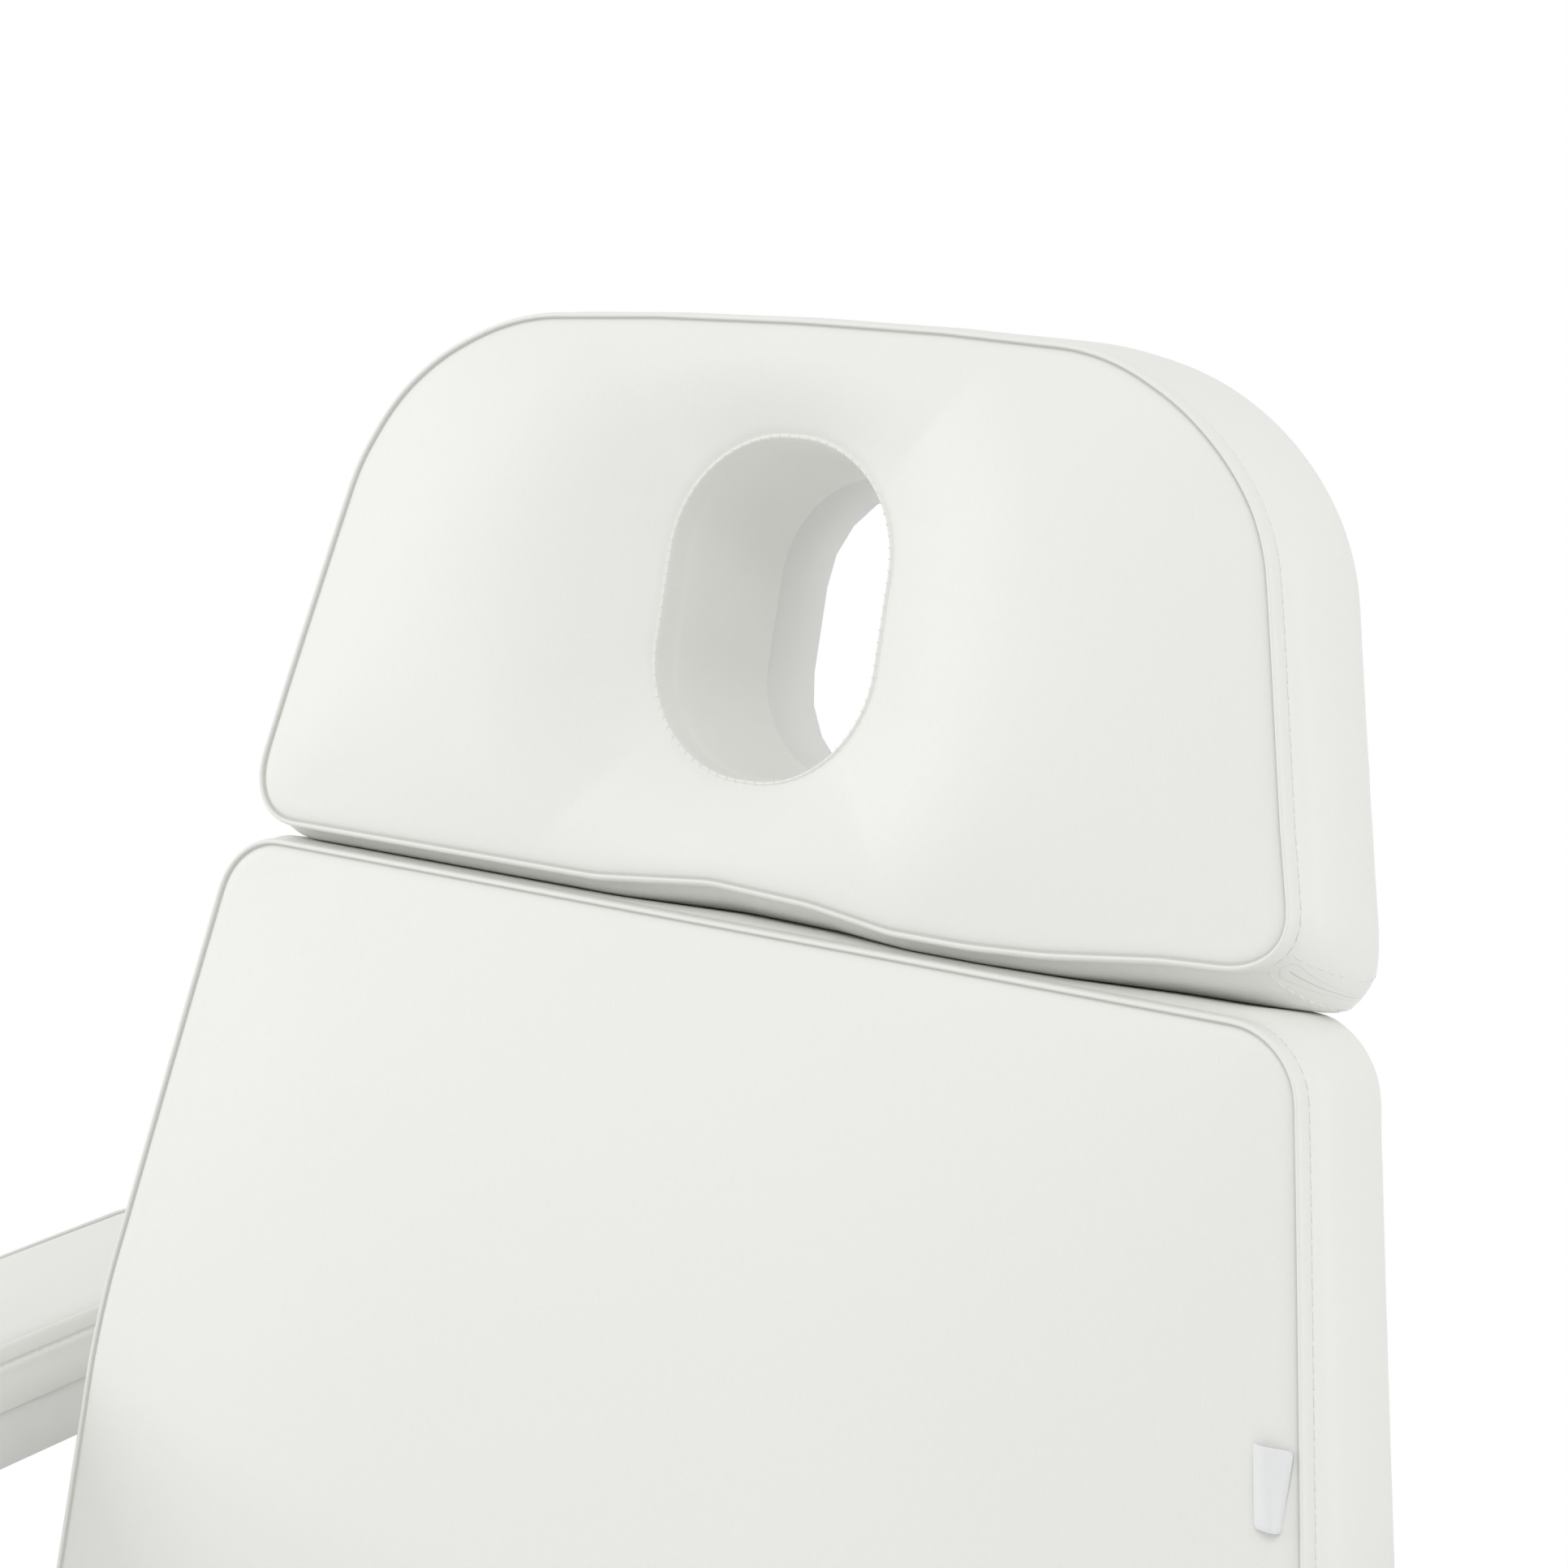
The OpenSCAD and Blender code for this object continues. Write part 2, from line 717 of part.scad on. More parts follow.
module pedal_pin() {
    ear_out = lever_w / 2 + face_gap + ear_t;
    color(bare_steel) {
        cross_rod(-ear_out - cap_t, ear_out + cap_t, pin_r, pedal_y, pedal_z);
        both_sides() cross_rod(ear_out, ear_out + cap_t, stud_head_r, pedal_y, pedal_z);
    }
}

tread_w = 100;
tread_l = 62;
tread_t = 6;
pedal_rise = 36;
pedal_rubber_t = 7;

module pedal_lever() {
    tread_y = pedal_y + pedal_len - tread_l;
    tread_z = pedal_z + pedal_rise;
    color(white_paint) difference() {
        union() {
            translate([-lever_w / 2, 0, 0]) side_plate(0, lever_w) union() {
                translate([barrel_y, pedal_z]) circle(tip_r, $fn = round_fn);
                translate([pedal_y, pedal_z]) circle(ear_r, $fn = round_fn);
                polygon([
                    [barrel_y, pedal_z - tip_r],
                    [pedal_y, pedal_z - ear_r],
                    [tread_y, tread_z - tread_t - ear_r],
                    [tread_y + tread_l, tread_z - tread_t],
                    [tread_y + tread_l, tread_z],
                    [tread_y, tread_z],
                    [pedal_y, pedal_z + ear_r],
                    [barrel_y + plunger_r, pedal_z + tip_r],
                    [barrel_y, pedal_z + tip_r]]);
            }
            block([-tread_w / 2, tread_y, tread_z - tread_t], [tread_w / 2, tread_y + tread_l, tread_z]);
        }
        cross_rod(-lever_w, lever_w, pin_r + run_fit, pedal_y, pedal_z);
    }
}

module pedal_pad() {
    tread_y = pedal_y + pedal_len - tread_l;
    tread_z = pedal_z + pedal_rise;
    ribs = 5;
    rib_h = 2;
    rib_w = 6;
    color(dark_rubber) {
        block([-tread_w / 2, tread_y, tread_z], [tread_w / 2, tread_y + tread_l, tread_z + pedal_rubber_t]);
        for (i = [0:ribs - 1]) translate([0, tread_y + (i + 0.5) * tread_l / ribs, tread_z])
            block([-tread_w / 2, -rib_w / 2, 0], [tread_w / 2, rib_w / 2, pedal_rubber_t + rib_h]);
    }
}

module pump_plunger() {
    start = pedal_z + tip_r + face_gap;
    color(bare_steel) upright_rod(0, barrel_y, start, start + plunger_len, plunger_r);
}

// Turning head and seat frame
module swivel_head() {
    color(white_paint) difference() {
        union() {
            upright_rod(0, 0, hub_bottom, frame_bottom, piston_r + hub_wall);
            block([-head_plate_w / 2, -head_plate_w / 2, head_plate_bottom],
                [head_plate_w / 2, head_plate_w / 2, frame_bottom]);
        }
        upright_rod(0, 0, hub_bottom - overrun, head_plate_bottom, piston_r + run_fit);
        for (x = [-1, 1], y = [-1, 1])
            upright_rod(x * bolt_x, y * cross_y, head_plate_bottom - overrun, frame_bottom + overrun,
                screw_r + seat_fit);
        cross_rod(piston_r + hub_wall - swivel_stud_bite, piston_r + hub_wall + overrun, stud_r + run_fit,
            0, swivel_stud_z);
    }
}

module swivel_bolts() {
    color(bare_steel) for (x = [-1, 1], y = [-1, 1]) translate([x * bolt_x, y * cross_y, 0]) {
        upright_rod(0, 0, head_plate_bottom - screw_head_t, head_plate_bottom, screw_head_r);
        upright_rod(0, 0, head_plate_bottom - screw_head_t, frame_bottom + screw_bite, screw_r);
    }
}

rail_out = cheek_x;
rail_in = cheek_x - tube_w;
seat_screw_x = 210;

module seat_rails() {
    rail_y = back_pivot_y - cheek_toe;
    color(white_paint) both_sides() block([rail_in, -rail_y, frame_bottom], [rail_out, rail_y, frame_top]);
}

module seat_crosses() {
    color(white_paint) for (y = [-cross_y, cross_y]) difference() {
        block([-rail_in, y - tube_w / 2, frame_bottom], [rail_in, y + tube_w / 2, frame_top]);
        for (x = [-1, 1]) {
            upright_rod(x * seat_screw_x, y, frame_bottom - overrun, frame_top + overrun, screw_r + seat_fit);
            upright_rod(x * bolt_x, y, frame_bottom - overrun, frame_bottom + screw_bite, screw_r + seat_fit);
        }
    }
}

module seat_board() {
    color(plywood) difference() {
        board(seat_corners, board_top, board_t);
        for (x = [-1, 1], y = [-1, 1])
            upright_rod(x * seat_screw_x, y * cross_y, frame_top - overrun, frame_top + screw_bite,
                screw_r + seat_fit);
    }
}

module seat_pad() {
    color(white_leather) cushion(seat_corners, seat_height, pad_depth, seat_crown, full_swell, side_draw);
}

module seat_screws() {
    color(bare_steel) for (x = [-1, 1], y = [-1, 1]) translate([x * seat_screw_x, y * cross_y, 0]) {
        upright_rod(0, 0, frame_bottom - screw_head_t, frame_bottom, screw_head_r);
        upright_rod(0, 0, frame_bottom - screw_head_t, frame_top + screw_bite, screw_r);
    }
}

// Armrests
module armrest_posts() {
    color(white_paint) both_sides() difference() {
        union() {
            block([cheek_x + plate_t, armrest_pivot_y - tube_w / 2, frame_bottom],
                [post_x + tube_w, armrest_pivot_y + tube_w / 2, frame_top]);
            block([post_x, armrest_pivot_y - tube_w / 2, frame_bottom],
                [post_x + tube_w, armrest_pivot_y + tube_w / 2, armrest_pivot_z]);
            cross_rod(post_x, post_x + tube_w, tube_w / 2, armrest_pivot_y, armrest_pivot_z);
        }
        cross_rod(post_x - overrun, post_x + tube_w + overrun, pin_r + run_fit,
            armrest_pivot_y, armrest_pivot_z);
    }
}

module armrest_pins() {
    from = post_x - face_gap - bracket_t;
    to = post_x + tube_w + face_gap + bracket_t;
    color(bare_steel) both_sides() {
        cross_rod(from, to + cap_t, pin_r, armrest_pivot_y, armrest_pivot_z);
        cross_rod(to + soft_gap, to + cap_t, pin_r + stud_head_t, armrest_pivot_y, armrest_pivot_z);
    }
}

module armrest_bracket_left() {
    from = post_x - face_gap - bracket_t;
    to = post_x + tube_w + face_gap + bracket_t;
    half = tube_w / 2;
    color(white_paint) difference() {
        union() {
            block([from, armrest_pivot_y - tube_w, shell_bottom - bracket_t],
                [to, armrest_pivot_y + tube_w, shell_bottom]);
            for (x = [from, to - bracket_t]) {
                block([x, armrest_pivot_y - half, armrest_pivot_z],
                    [x + bracket_t, armrest_pivot_y + half, shell_bottom]);
                cross_rod(x, x + bracket_t, half, armrest_pivot_y, armrest_pivot_z);
            }
        }
        cross_rod(from - overrun, to + overrun, pin_r + run_fit, armrest_pivot_y, armrest_pivot_z);
    }
}

module armrest_bracket_right() {
    mirror([1, 0, 0]) armrest_bracket_left();
}

armrest_mid_x = armrest_inner + armrest_width / 2;
armrest_corners = let (w = armrest_width / 2, front = armrest_rear - armrest_len) [
    [armrest_mid_x + w, front, armrest_corner],
    [armrest_mid_x + w, armrest_rear, armrest_corner],
    [armrest_mid_x - w, armrest_rear, armrest_corner],
    [armrest_mid_x - w, front, armrest_corner]];

module armrest_shell_left() {
    color(white_paint) translate([0, 0, shell_bottom]) linear_extrude(shell_depth)
        polygon(grown(outline(armrest_corners), -shell_inset));
}

module armrest_shell_right() {
    mirror([1, 0, 0]) armrest_shell_left();
}

module armrest_cushion() {
    color(white_leather) translate([armrest_mid_x, 0, 0])
        cushion([for (c = armrest_corners) [c[0] - armrest_mid_x, c[1], c[2]]],
            shell_top + armrest_depth, armrest_depth, armrest_crown, armrest_swell, 0);
}

module armrest_pad_left() {
    armrest_cushion();
}

module armrest_pad_right() {
    mirror([1, 0, 0]) armrest_cushion();
}

// Backrest
cross_half = tube_w / 2;
lower_cross = cross_start + cross_half;
upper_cross = back_end - back_cross_end - cross_half;
middle_cross = upper_cross - guide_spacing;
back_screws_s = [lower_cross + tube_w * 2, upper_cross];

module back_arms() {
    color(white_paint) both_sides() at_back() side_plate(arm_x, plate_t) back_arm_shape();
}

module back_crosses() {
    color(white_paint) at_back() {
        block([-arm_x, cross_start, tube_back], [arm_x, cross_start + tube_w, tube_front]);
        for (s = [middle_cross, upper_cross])
            block([cross_half - upright_x, s - cross_half, tube_back],
                [upright_x - cross_half, s + cross_half, tube_front]);
    }
}

module section_screw(x, s, back) {
    upright_rod(x, s, back - screw_head_t, back, screw_head_r);
    upright_rod(x, s, back - screw_head_t, back + tube_w + screw_bite, screw_r);
}

module section_screw_hole(x, s, back) {
    upright_rod(x, s, back - overrun, back + tube_w + screw_bite, screw_r + seat_fit);
}

module back_uprights() {
    color(white_paint) at_back() both_sides() difference() {
        block([upright_x - cross_half, cross_start + tube_w, tube_back],
            [upright_x + cross_half, upper_cross + cross_half, tube_front]);
        for (s = back_screws_s) section_screw_hole(upright_x, s, tube_back);
    }
}

module back_board() {
    color(plywood) at_back() difference() {
        board(back_corners, board_front, board_t);
        for (s = back_screws_s, x = [-1, 1]) section_screw_hole(x * upright_x, s, tube_back);
    }
}

module back_pad() {
    color(white_leather) at_back()
        cushion(back_corners, pivot_depth, pad_depth, back_crown, back_swell, side_draw);
}

module back_screws() {
    color(bare_steel) at_back()
        for (s = back_screws_s, x = [-1, 1]) section_screw(x * upright_x, s, tube_back);
}

// Distance of the backrest's side seam from the middle plane, on the taper
function tapered_seam(s) =
    back_width / 2 - (back_width - back_top_width) / 2 * (s - back_end + back_flare) / back_flare;

// The tag comes out of the left seam, on the taper, and lies on the crown
module care_tag() {
    tag_w = 11;
    tag_h = 29;
    tag_t = 1;
    tag_below_top = 176;
    tag_top = back_end - tag_below_top + tag_h;
    seam_x = tapered_seam(tag_top) - soft_gap;
    width_share = (seam_x - tag_w) / tapered_seam(tag_top - tag_h);
    tag_low = pivot_depth + back_crown * (1 - pow(width_share, crown_power)) + soft_gap;
    color("#F7F8F8") at_back()
        block([seam_x - tag_w, tag_top - tag_h, tag_low], [seam_x, tag_top, tag_low + tag_t]);
}

// Headrest carriage
guide_half = tube_back - bar_h;

module rod_guides() {
    color(white_paint) at_back() both_sides() for (s = [middle_cross, upper_cross]) difference() {
        block([rod_x - guide_w / 2, s - guide_len / 2, bar_h - guide_half],
            [rod_x + guide_w / 2, s + guide_len / 2, tube_back]);
        translate([rod_x, s, bar_h]) rotate([90, 0, 0])
            cylinder(h = guide_len + overrun, r = rod_r + run_fit, center = true, $fn = round_fn);
        if (s == upper_cross) upright_rod(rod_x, s, bar_h - guide_half - overrun, bar_h, stud_r + run_fit);
    }
}

module headrest_rods() {
    color(bright_chrome) at_back() both_sides() translate([rod_x, bar_s + rod_sunk, bar_h]) rotate([90, 0, 0])
        cylinder(h = rod_len, r = rod_r, $fn = round_fn);
}

module carriage_bar() {
    color(white_paint) at_back() difference() {
        cross_rod(-bar_half, bar_half, bar_r, bar_s, bar_h);
        for (x = [-rod_x, rod_x]) translate([x, bar_s + rod_sunk, bar_h]) rotate([90, 0, 0])
            cylinder(h = bar_r * 2, r = rod_r + run_fit, $fn = round_fn);
        for (x = [-bar_half - overrun, bar_half - tilt_pin_in])
            cross_rod(x, x + tilt_pin_in + overrun, pin_r + run_fit, bar_s, bar_h);
    }
}

tilt_pin_in = 10;
knob_t = 18;
ear_x = bar_half + plate_gap;
knob_x = ear_x + ear_t + face_gap;

module tilt_pins() {
    color(bare_steel) at_back() {
        cross_rod(bar_half - tilt_pin_in, knob_x + knob_t + face_gap + cap_t, pin_r, bar_s, bar_h);
        cross_rod(knob_x + knob_t + face_gap, knob_x + knob_t + face_gap + cap_t, stud_head_r, bar_s, bar_h);
        cross_rod(-knob_x - cap_t, tilt_pin_in - bar_half, pin_r, bar_s, bar_h);
        cross_rod(-knob_x - cap_t, -knob_x, stud_head_r, bar_s, bar_h);
    }
}

// Share of a knob's thickness that its lobes have
lobe_share = 0.7;

// A knob with lobes, its axis along Z
module star_knob() {
    lobes = 6;
    body_r = 16;
    lobe_r = 6;
    cylinder(h = knob_t, r = body_r, $fn = round_fn);
    for (i = [0:lobes - 1]) rotate([0, 0, 360 * i / lobes]) translate([body_r, 0, 0])
        cylinder(h = knob_t * lobe_share, r = lobe_r, $fn = round_fn / 2);
}

module tilt_knob() {
    color(grey_plastic) at_back() difference() {
        translate([knob_x, bar_s, bar_h]) rotate([0, 90, 0]) star_knob();
        cross_rod(knob_x - overrun, knob_x + knob_t + overrun, pin_r + run_fit, bar_s, bar_h);
    }
}

// A clamp knob with the stud that bears on the rod
module rod_knob_left() {
    knob_h = bar_h - guide_half - face_gap;
    color(grey_plastic) at_back() union() {
        translate([rod_x, upper_cross, knob_h]) rotate([180, 0, 0]) star_knob();
        upright_rod(rod_x, upper_cross, knob_h - knob_t / 2, bar_h - rod_r - face_gap, stud_r);
    }
}

module rod_knob_right() {
    mirror([1, 0, 0]) rod_knob_left();
}

// Headrest
head_screw_x = 90;
head_screw_s = 8;

module headrest_bracket() {
    web_half = bar_r;
    web_back = cover_back - web_t;
    color(white_paint) at_back() difference() {
        union() {
            block([-ear_x - ear_t, bar_s - web_half, web_back],
                [ear_x + ear_t, bar_s + web_half, cover_back]);
            for (x = [-ear_x - ear_t, ear_x]) {
                block([x, bar_s - ear_r, bar_h], [x + ear_t, bar_s + ear_r, cover_back]);
                cross_rod(x, x + ear_t, ear_r, bar_s, bar_h);
            }
        }
        cross_rod(-ear_x - ear_t - overrun, ear_x + ear_t + overrun, pin_r + run_fit, bar_s, bar_h);
        for (x = [-1, 1], s = [-1, 1])
            upright_rod(x * head_screw_x, bar_s + s * head_screw_s,
                web_back - overrun, cover_back + overrun, screw_r + seat_fit);
    }
}

// The cover's collar lines the face hole through the board, set back a little from the leather
collar_setback = 1;
collar_wall = 3;
collar_inside = hole_taper - collar_setback;
collar_outside = collar_inside - collar_wall;

module hole_prism(from, to, narrower) {
    translate([0, 0, from]) linear_extrude(to - from) polygon(outline(hole_corners(narrower)));
}

module headrest_cover() {
    color(white_paint) at_back() difference() {
        union() {
            head_slab(tube_front, cover_t);
            hole_prism(cover_back, board_front, collar_outside);
        }
        hole_prism(cover_back - overrun, board_front + overrun, collar_inside);
        for (x = [-1, 1], s = [-1, 1])
            upright_rod(x * head_screw_x, bar_s + s * head_screw_s,
                cover_back - overrun, tube_front + overrun, screw_r + seat_fit);
    }
}

module headrest_board() {
    color(plywood) at_back() difference() {
        head_slab(board_front, board_t);
        hole_prism(tube_front - overrun, board_front + overrun, collar_outside - seat_fit);
        for (x = [-1, 1], s = [-1, 1])
            upright_rod(x * head_screw_x, bar_s + s * head_screw_s,
                tube_front - overrun, tube_front + screw_bite, screw_r + seat_fit);
    }
}

module headrest_pad() {
    color(white_leather) at_back()
        pierced_cushion(head_corners, pivot_depth, pad_depth, head_crown, head_swell, 0);
}

module headrest_screws() {
    head_t = 2.5;
    web_back = cover_back - web_t;
    color(bare_steel) at_back() for (x = [-1, 1], s = [-1, 1])
        translate([x * head_screw_x, bar_s + s * head_screw_s, 0]) {
            upright_rod(0, 0, web_back - head_t, web_back, screw_head_r);
            upright_rod(0, 0, web_back - head_t, tube_front + screw_bite, screw_r);
        }
}

// Leg rest
leg_end = hinge_gap + leg_len;
leg_screws_s = [-cross_start - tube_w * 2, -leg_end + leg_cross_end + tube_w * 2];

module leg_arms() {
    color(white_paint) both_sides() at_leg() side_plate(arm_x, plate_t) leg_arm_shape();
}

module leg_crosses() {
    foot = -leg_end + leg_cross_end;
    color(white_paint) at_leg() {
        block([-arm_x, -cross_start - tube_w, leg_tube_back], [arm_x, -cross_start, leg_tube_front]);
        block([cross_half - upright_x, foot, leg_tube_back],
            [upright_x - cross_half, foot + tube_w, leg_tube_front]);
    }
}

module leg_rails() {
    color(white_paint) at_leg() both_sides() difference() {
        block([upright_x - cross_half, -leg_end + leg_cross_end, leg_tube_back],
            [upright_x + cross_half, -cross_start - tube_w, leg_tube_front]);
        for (s = leg_screws_s) section_screw_hole(upright_x, s, leg_tube_back);
    }
}

module leg_board() {
    color(plywood) at_leg() difference() {
        board(leg_corners, leg_board_front, board_t);
        for (s = leg_screws_s, x = [-1, 1]) section_screw_hole(x * upright_x, s, leg_tube_back);
    }
}

module leg_pad() {
    color(white_leather) at_leg()
        cushion(leg_corners, leg_pivot_depth, pad_depth, leg_crown, full_swell, side_draw);
}

module leg_screws() {
    color(bare_steel) at_leg()
        for (s = leg_screws_s, x = [-1, 1]) section_screw(x * upright_x, s, leg_tube_back);
}

base_plate();
base_rim();
pump_housing();
pump_bolts();
wiper_ring();
pedal_bracket();
pedal_pin();
pedal_lever();
pedal_pad();
pump_plunger();
lift_piston();
thrust_washer();
swivel_head();
swivel_bolts();
seat_rails();
seat_crosses();
seat_board();
seat_pad();
seat_screws();
hinge_cheeks();
hinge_pins();
clamp_studs();
armrest_posts();
armrest_pins();
back_arms();
back_uprights();
back_crosses();
rod_guides();
back_board();
back_pad();
back_screws();
care_tag();
headrest_rods();
carriage_bar();
tilt_pins();
tilt_knob();
headrest_bracket();
headrest_cover();
headrest_board();
headrest_pad();
headrest_screws();
leg_arms();
leg_rails();
leg_crosses();
leg_board();
leg_pad();
leg_screws();
armrest_pad_left();
armrest_pad_right();
armrest_shell_left();
armrest_shell_right();
armrest_bracket_left();
armrest_bracket_right();
back_lever_left();
back_lever_right();
leg_lever_left();
leg_lever_right();
swivel_lever();
rod_knob_left();
rod_knob_right();
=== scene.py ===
# %% [markdown]
# # A beauty treatment chair, dressed
#
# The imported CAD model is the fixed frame: every length, joint and mounting
# comes from it. This script leaves the metalwork where the frame puts it and
# gives it rounded edges and finishes. The soft parts are made again, because a
# cushion is more than its solid: it has lipped seams, topstitching, a crown
# that foam gives it, and leather folded over a board.
#
# All lengths are metres. X runs across the chair, Y towards its back, Z up.

# %% The frame
import json
import math

import bmesh
import bpy
import numpy as np
from mathutils import Matrix, Vector
from mathutils.kdtree import KDTree

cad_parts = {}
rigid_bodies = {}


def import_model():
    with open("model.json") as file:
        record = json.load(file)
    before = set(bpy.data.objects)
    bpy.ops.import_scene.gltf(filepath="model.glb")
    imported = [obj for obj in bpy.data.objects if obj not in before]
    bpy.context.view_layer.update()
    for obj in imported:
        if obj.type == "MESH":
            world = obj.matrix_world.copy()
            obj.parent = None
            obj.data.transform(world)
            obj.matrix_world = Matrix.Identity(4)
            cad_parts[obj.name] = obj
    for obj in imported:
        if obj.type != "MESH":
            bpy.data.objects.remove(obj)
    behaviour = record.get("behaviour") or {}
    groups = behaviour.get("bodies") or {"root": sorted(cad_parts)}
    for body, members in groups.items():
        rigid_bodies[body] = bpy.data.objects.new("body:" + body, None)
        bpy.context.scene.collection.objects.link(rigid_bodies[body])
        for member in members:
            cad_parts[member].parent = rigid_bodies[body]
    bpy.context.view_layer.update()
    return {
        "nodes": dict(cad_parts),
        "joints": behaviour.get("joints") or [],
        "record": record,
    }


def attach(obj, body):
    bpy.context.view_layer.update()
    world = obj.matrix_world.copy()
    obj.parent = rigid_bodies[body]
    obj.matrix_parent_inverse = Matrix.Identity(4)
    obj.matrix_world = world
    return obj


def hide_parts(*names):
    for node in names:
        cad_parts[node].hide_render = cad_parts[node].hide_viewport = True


for leftover in list(bpy.data.objects):
    bpy.data.objects.remove(leftover)
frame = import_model()
joints = {joint["name"]: joint for joint in frame["joints"]}
MM = 0.001


def placed(name, data):
    """A new object with that data, in the scene."""
    obj = bpy.data.objects.new(name, data)
    bpy.context.scene.collection.objects.link(obj)
    return obj


# %% [markdown]
# ## Sections
#
# Each cushion is easiest to draw lying flat: x across it, s along it, and z
# out of its face, with zero at the front seam. A matrix carries that drawing
# to its place on the chair. Its directions come from the frame's own joints,
# so the cushions lean exactly as the metal does.

# %% Section matrices
def section_matrix(hinge, along, height):
    """From a cushion's flat drawing to its place, with the seam that high above the hinge."""
    across = Vector((1, 0, 0))
    along = Vector(along).normalized()
    out = across.cross(along)
    matrix = Matrix((across, along, out)).transposed().to_4x4()
    matrix.translation = Vector(hinge) + out * height
    return matrix


leg_drop = math.radians(joints["leg_lift"]["range_deg"][1])
SEAT_SEAM_ABOVE_FLOOR, BACK_SEAM_ABOVE_HINGE, LEG_SEAM_ABOVE_HINGE = 0.590, 0.020, 0.118
SECTIONS = {
    "seat": section_matrix((0, 0, 0), (0, 1, 0), SEAT_SEAM_ABOVE_FLOOR),
    "back": section_matrix(joints["back_recline"]["pos_m"], joints["headrest_slide"]["axis"],
                           BACK_SEAM_ABOVE_HINGE),
    "leg": section_matrix(joints["leg_lift"]["pos_m"], (0, math.cos(leg_drop), math.sin(leg_drop)),
                          LEG_SEAM_ABOVE_HINGE),
}
SECTIONS["head"] = SECTIONS["back"]


def node_span(node, section):
    """Lowest and highest corner of a CAD node, in a section's own drawing."""
    inverse = SECTIONS[section].inverted()
    points = np.array([inverse @ v.co for v in frame["nodes"][node].data.vertices])
    return points.min(0), points.max(0)


# %% [markdown]
# ## The outline of a cushion
#
# A cutter's pattern is a shape with rounded corners. A face is made from the
# few points where the straight sides would meet, and each point is bevelled:
# the bevel's offset is the distance from the point at which the curve starts,
# radius times the tangent of half the turn. Only the ring of edges is kept,
# divided into even steps.

# %% A ring with rounded corners
def rounded_ring(corners, spacing):
    """A bmesh that holds one closed ring of edges round the corners, each (x, s, radius)."""
    bm = bmesh.new()
    bm.faces.new([bm.verts.new((x, s, 0)) for x, s, radius in corners])
    points = [Vector((x, s, 0)) for x, s, radius in corners]
    for i, (x, s, radius) in enumerate(corners):
        turn = (points[i] - points[i - 1]).angle(points[(i + 1) % len(points)] - points[i])
        corner = min(bm.verts, key=lambda v: (v.co - points[i]).length)
        bmesh.ops.bevel(bm, geom=[corner], offset=radius * math.tan(turn / 2), offset_type="OFFSET",
                        segments=max(4, round(radius * turn / spacing)), profile=0.5,
                        affect="VERTICES", material=-1)
    bmesh.ops.delete(bm, geom=bm.faces[:], context="FACES_ONLY")
    for edge in bm.edges[:]:
        cuts = round(edge.calc_length() / spacing) - 1
        if cuts > 0:
            bmesh.ops.subdivide_edges(bm, edges=[edge], cuts=cuts)
    return bm


def in_order(bm):
    """The ring's vertices, counter-clockwise, from the middle of the lower side."""
    first = min(bm.verts, key=lambda v: (round(v.co.y, 4), abs(v.co.x)))
    ring = [first]
    step = max((e.other_vert(first) for e in first.link_edges), key=lambda v: v.co.x)
    while step != first:
        ring.append(step)
        following = [e.other_vert(step) for e in step.link_edges if e.other_vert(step) != ring[-2]]
        step = following[0]
    return ring


def outward_of(points):
    """For each point of a closed ring, the direction in its plane that leaves the ring."""
    points = np.array([tuple(p)[:2] for p in points])
    run = np.roll(points, -1, 0) - np.roll(points, 1, 0)
    run /= np.linalg.norm(run, axis=1)[:, None]
    return np.stack([run[:, 1], -run[:, 0]], 1)


# %% [markdown]
# ## Growing a cover from its ring
#
# The sewn cover is swept from the seam: each extrusion of the ring is one more
# line round the cushion, and moving its points gives the cover its section.
# That keeps the faces in rows along the seam, which is what lets a seam only a
# few millimetres wide stay crisp.

# %% One more ring, and the panel's middle
def next_ring(bm, ring, places):
    """Extrudes the ring, and puts each new vertex at its place."""
    edges = [bm.edges.get((ring[i - 1], ring[i])) for i in range(len(ring))]
    made = bmesh.ops.extrude_edge_only(bm, edges=edges)["geom"]
    fresh = {g for g in made if isinstance(g, bmesh.types.BMVert)}
    new_ring = [next(e.other_vert(v) for e in v.link_edges if e.other_vert(v) in fresh) for v in ring]
    for vert, place in zip(new_ring, places):
        vert.co = place
    return new_ring


def fill_with_cells(bm, ring, cell):
    """Closes a flat ring with a sheet cut into square cells, and gives the new vertices."""
    before = set(bm.verts)
    face = bm.faces.new(ring)
    geometry = [face, *face.edges, *face.verts]
    for axis in (0, 1):
        low = min(v.co[axis] for v in ring)
        high = max(v.co[axis] for v in ring)
        count = max(2, round((high - low) / cell))
        for k in range(1, count):
            plane, normal = Vector(), Vector()
            plane[axis] = low + (high - low) * k / count
            normal[axis] = 1
            cut = bmesh.ops.bisect_plane(bm, geom=geometry, dist=4e-4, plane_co=plane, plane_no=normal)
            geometry = cut["geom"]
    return [v for v in bm.verts if v not in before]


# %% [markdown]
# ## The section of a sewn edge
#
# Read outwards from the panel: the leather dips into the seam, stands up in a
# lip where the two layers meet, and turns down the side. Nine millimetres on
# is the topstitch, pulled into a shallow groove. Below it the foam swells,
# then the cover is drawn in over the board's edge, round its back corner, and
# ends in a flat hem stapled to the plywood. Where a cushion's corners are
# sharper at the back than at the seam, the band's rings turn from the seam's
# outline into the sharper one between two depths. Round the face hole the
# panel dips, stands up in a rim, and turns down the hole's wall.
#
# Each pair is (out from the seam or the rim, up from it), in millimetres.

